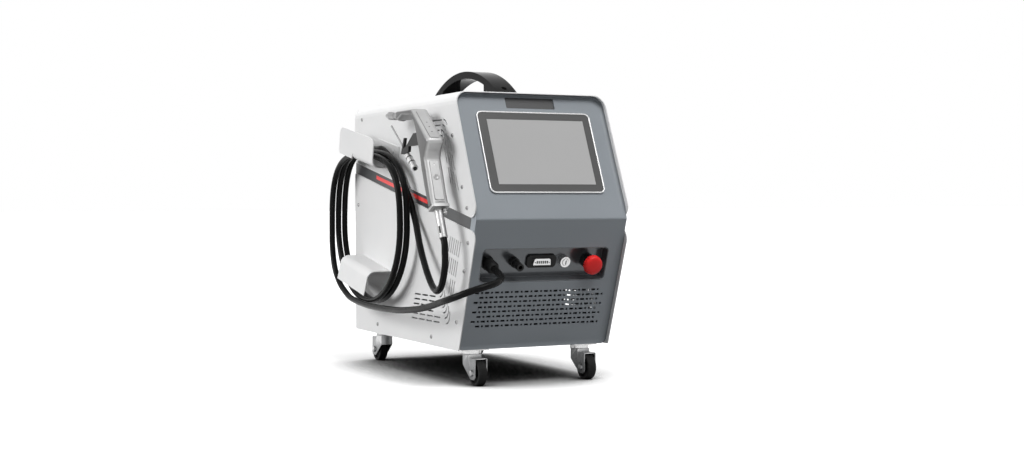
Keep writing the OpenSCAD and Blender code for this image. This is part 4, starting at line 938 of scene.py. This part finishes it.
def gun_foot():
    """The plate under the grip with its knob, and the strain relief with its slot"""
    foot = on_gun(FOOT, 0.5)
    shape = bmesh.new()
    slab(shape, foot, FOOT_PLATE)
    turned(shape, shifted(foot, KNOB_X, RELIEF_OFF), KNOB_ROWS, sides=28)
    stands_for("gun_end_plate", "gun_foot", shape, "satin_steel")
    relief = shifted(foot, 0, -RELIEF_OFF)
    shape = bmesh.new()
    turned(shape, relief, RELIEF_ROWS, sides=40)
    stands_for("gun_strain_relief", "gun_relief", shape, "satin_steel")
    slot_at = (shifted(relief, 0, 0, RELIEF_SLOT_AT) @ Matrix.Rotation(RELIEF_SLOT_TURN, 4, "Z")
               @ Matrix.Rotation(-math.pi / 2, 4, "Y"))
    shape = bmesh.new()
    slab(shape, slot_at, RELIEF_SLOT)
    finished("gun_relief_slot", shape, "black_plastic", "gun")


# The wire plug's direction, and its place as shares of the gun's height
WIRE_PLUG_WAY = Vector((0, 0.8141, 0.5807))
WIRE_PLUG_SHARES = Vector((0, 0.839, 0.537))
WIRE_PLUG_ROWS = ((0, 0), (5.4, 0), (6.4, -1), (6.4, -8), (7, -8.5), (7, -30.5), (6.4, -31),
                  (6.4, -40), (7, -40.5), (7, -45), (6.2, -46), (4.2, -46), (4.2, -40), (0, -40))
RING_HEIGHTS = ((-12.5, -10), (-28.5, -26))
RING_IN = 6
RING_OUT = 7.25
WIRE_BORE_ROWS = ((0, -39), (4, -39), (4, -47.5), (0, -47.5))


def gun_wire_plug():
    wire = facing(GUN_AT + WIRE_PLUG_SHARES * GUN_H, WIRE_PLUG_WAY)
    shape = bmesh.new()
    turned(shape, wire, WIRE_PLUG_ROWS, sides=40)
    stands_for("gun_wire_connector", "gun_wire_plug", shape, "bright_steel")
    shape = bmesh.new()
    for low, high in RING_HEIGHTS:
        rows = ((RING_IN, low), (RING_OUT, low), (RING_OUT, high), (RING_IN, high), (RING_IN, low))
        turned(shape, wire, rows, sides=40)
    turned(shape, wire, WIRE_BORE_ROWS)
    finished("gun_plug_rings", shape, "black_plastic", "gun")


# The nozzle's direction, and its place as shares of the gun's height
NOZZLE_WAY = Vector((0, 0.99756, 0.06976))
NOZZLE_SHARES = Vector((0, 0.956, 0.947))
BARREL_ROWS = (
    (0, 0.7), (9, 0.7), (10, 1.6), (10, 3), (8.6, 3.6), (8.6, 4.6), (10, 5.2, 1), (10, 17, 1),
    (9, 18), (7, 18.3), (7, 22), (7.7, 22.6), (8.2, 23.4), (8.2, 27), (7, 28), (7, 39),
    (8.25, 40), (8.25, 60), (7.8, 60.6), (7.8, 62), (8.25, 62.6), (8.25, 72), (7.2, 74),
    (5.2, 80), (4.2, 86), (4, 89), (2, 89), (2, 80), (0, 80))
BARREL_RIBS = 24
BARREL_RIB_DEPTH = 0.05


def gun_barrel():
    shape = bmesh.new()
    turned(shape, facing(GUN_AT + NOZZLE_SHARES * GUN_H, NOZZLE_WAY), BARREL_ROWS, sides=96,
           form=ribbed(BARREL_RIBS, BARREL_RIB_DEPTH))
    stands_for("gun_nozzle", "gun_barrel", shape, "barrel_steel")


def make_gun():
    gun_casting()
    gun_stud()
    gun_plates()
    gun_grooves()
    gun_push_button()
    gun_screws()
    gun_foot()
    gun_wire_plug()
    gun_barrel()


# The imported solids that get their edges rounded, and by how much
EDGE_WIDTHS = {
    "screen_frame": 1.3, "screen_glass": 0.3, "connector_bay": 0.7, "hose_gland": 0.8,
    "ground_socket": 0.7, "signal_socket": 0.8, "key_switch": 0.6, "stop_collar": 0.6,
    "stop_stem": 0.5, "castor_plates": 0.5, "carry_handle": 3.2, "hose_hook_upper": 0.7,
    "hose_hook_lower": 0.7, "gun_holder": 0.6, "gun_wire_bracket": 0.5, "gun_wire_tube": 0.3,
    "gun_trigger": 1.0, "gun_trigger_mount": 0.5, "fan_rotor_left": 0.4, "fan_rotor_right": 0.4,
    "breaker": 0.6, "breaker_toggle": 0.5, "rear_inlets": 0.6,
}
FORK_EDGE = 0.6
WHEEL_EDGE = 0.8
# The nodes whose look isn't their slot's; the inner parts' near black is painted shade inside the
# case
OTHER_LOOKS = (("connector_bay", "bay_paint_in_shade"), ("badge_plate", "badge_grey"),
               ("gun_wire_tube", "satin_steel"), ("laser_source", "inner_dark"),
               ("power_supply", "inner_dark"), ("base_plate", "inner_dark"))


def dress_nodes():
    """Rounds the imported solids' edges, and gives the solids that still show their materials"""
    widths = dict(EDGE_WIDTHS)
    for end in ("front", "rear"):
        for side in ("left", "right"):
            widths[f"castor_fork_{end}_{side}"] = FORK_EDGE
            widths[f"castor_wheel_{end}_{side}"] = WHEEL_EDGE
    for node, width in widths.items():
        soften(node, width)
    for name, node in nodes.items():
        if not node.hide_render:
            node.data.materials.clear()
            node.data.materials.append(materials[slot_of[name]])
    for name, look in OTHER_LOOKS:
        piece = bpy.data.objects.get(name + "_rounded") or nodes[name]
        piece.data.materials[0] = materials[look]


# Floor, world and lamps
FLOOR_HALF = 60
FLOOR_ROUGH = 0.9
# The floor's tones: as it is seen, as it is seen in the shadow painted under the object, and as it
# lights the object
FLOOR_SEEN = 0.93
FLOOR_PAINTED_SHADOW = 0.02
FLOOR_LIGHTS = 0.15
FLOOR_LIFT = 0.4
SHADOW_SAMPLES = 8
# How far in metres the floor looks for the object for the shadow painted under it, and how open
# it is where that shadow is darkest and where it is as pale as elsewhere
SHADOW_REACH = 0.3
SHADOW_DARKEST = 0.3
SHADOW_END = 0.75
# The world's light from below and from above, and how high those directions point
SKY_LOW = 0.12
SKY_HIGH = 0.42
SKY_FROM = -0.1
SKY_TO = 0.9


def seen_rays(tree):
    """1 for the rays that look at the floor or the world, straight, in metal or through glass"""
    path = add(tree, "ShaderNodeLightPath")
    clear = maths(tree, "ADD", path.outputs["Is Glossy Ray"], path.outputs["Is Transmission Ray"])
    return maths(tree, "ADD", path.outputs["Is Camera Ray"], clear, clamp=True)


def make_floor():
    shape = bmesh.new()
    bmesh.ops.create_grid(shape, x_segments=1, y_segments=1, size=FLOOR_HALF)
    mesh = as_mesh("floor", shape)
    floor = bpy.data.objects.new("floor", mesh)
    bpy.context.collection.objects.link(floor)
    material, tree, shader = new_material("pale_floor")
    seen = seen_rays(tree)
    # Painted shadow: the floor turns near black where the object closes it in, and gets no lift
    # there
    shadow_occlusion = add(tree, "ShaderNodeAmbientOcclusion", Distance=SHADOW_REACH)
    shadow_occlusion.samples = SHADOW_SAMPLES
    outside_shadow = spread(tree, shadow_occlusion.outputs["AO"], 0.0, 1.0, SHADOW_DARKEST, SHADOW_END)
    pale = mixed(tree, outside_shadow, grey(FLOOR_PAINTED_SHADOW), grey(FLOOR_SEEN))
    tree.links.new(mixed(tree, seen, grey(FLOOR_LIGHTS), pale), shader.inputs["Base Color"])
    lift = spread(tree, maths(tree, "MULTIPLY", outside_shadow, seen), 0.0, FLOOR_LIFT, 0.0, 1.0)
    tree.links.new(lift, shader.inputs["Emission Strength"])
    shader.inputs["Emission Color"].default_value = (1, 1, 1, 1)
    shader.inputs["Roughness"].default_value = FLOOR_ROUGH
    shader.inputs["Specular IOR Level"].default_value = 0.0
    mesh.materials.append(material)


def make_world():
    world = bpy.data.worlds.new("studio")
    world.use_nodes = True
    tree = world.node_tree
    split = tree.nodes.new("ShaderNodeSeparateXYZ")
    tree.links.new(add(tree, "ShaderNodeTexCoord").outputs["Generated"], split.inputs[0])
    height = spread(tree, split.outputs["Z"], SKY_LOW, SKY_HIGH, SKY_FROM, SKY_TO)
    level = mixed(tree, seen_rays(tree), height, (1, 1, 1))
    tree.links.new(level, tree.nodes["Background"].inputs["Color"])
    bpy.context.scene.world = world


def make_sun(name, towards, level, softness):
    """A soft sun that shines from that side. The level is what it adds to a face turned to it"""
    data = bpy.data.lights.new(name, "SUN")
    data.energy = level * math.pi
    data.angle = math.radians(softness)
    sun = bpy.data.objects.new(name, data)
    sun.rotation_euler = Vector(towards).to_track_quat("Z", "Y").to_euler()
    bpy.context.collection.objects.link(sun)


materials = make_materials()
make_camera()
make_hoses()
make_surround()
make_screws()
make_stop_cap()
make_signal_plug()
make_key()
make_gun()
dress_nodes()
make_floor()
make_world()
make_sun("side_light", (-0.9, 0.2, 0.39), 0.7, 35)
make_sun("top_light", (0.1, -0.5, 0.86), 0.57, 35)
make_sun("right_fill", (0.9, 0.43, 0.04), 0.3, 60)

bpy.context.scene.view_settings.view_transform = "Standard"
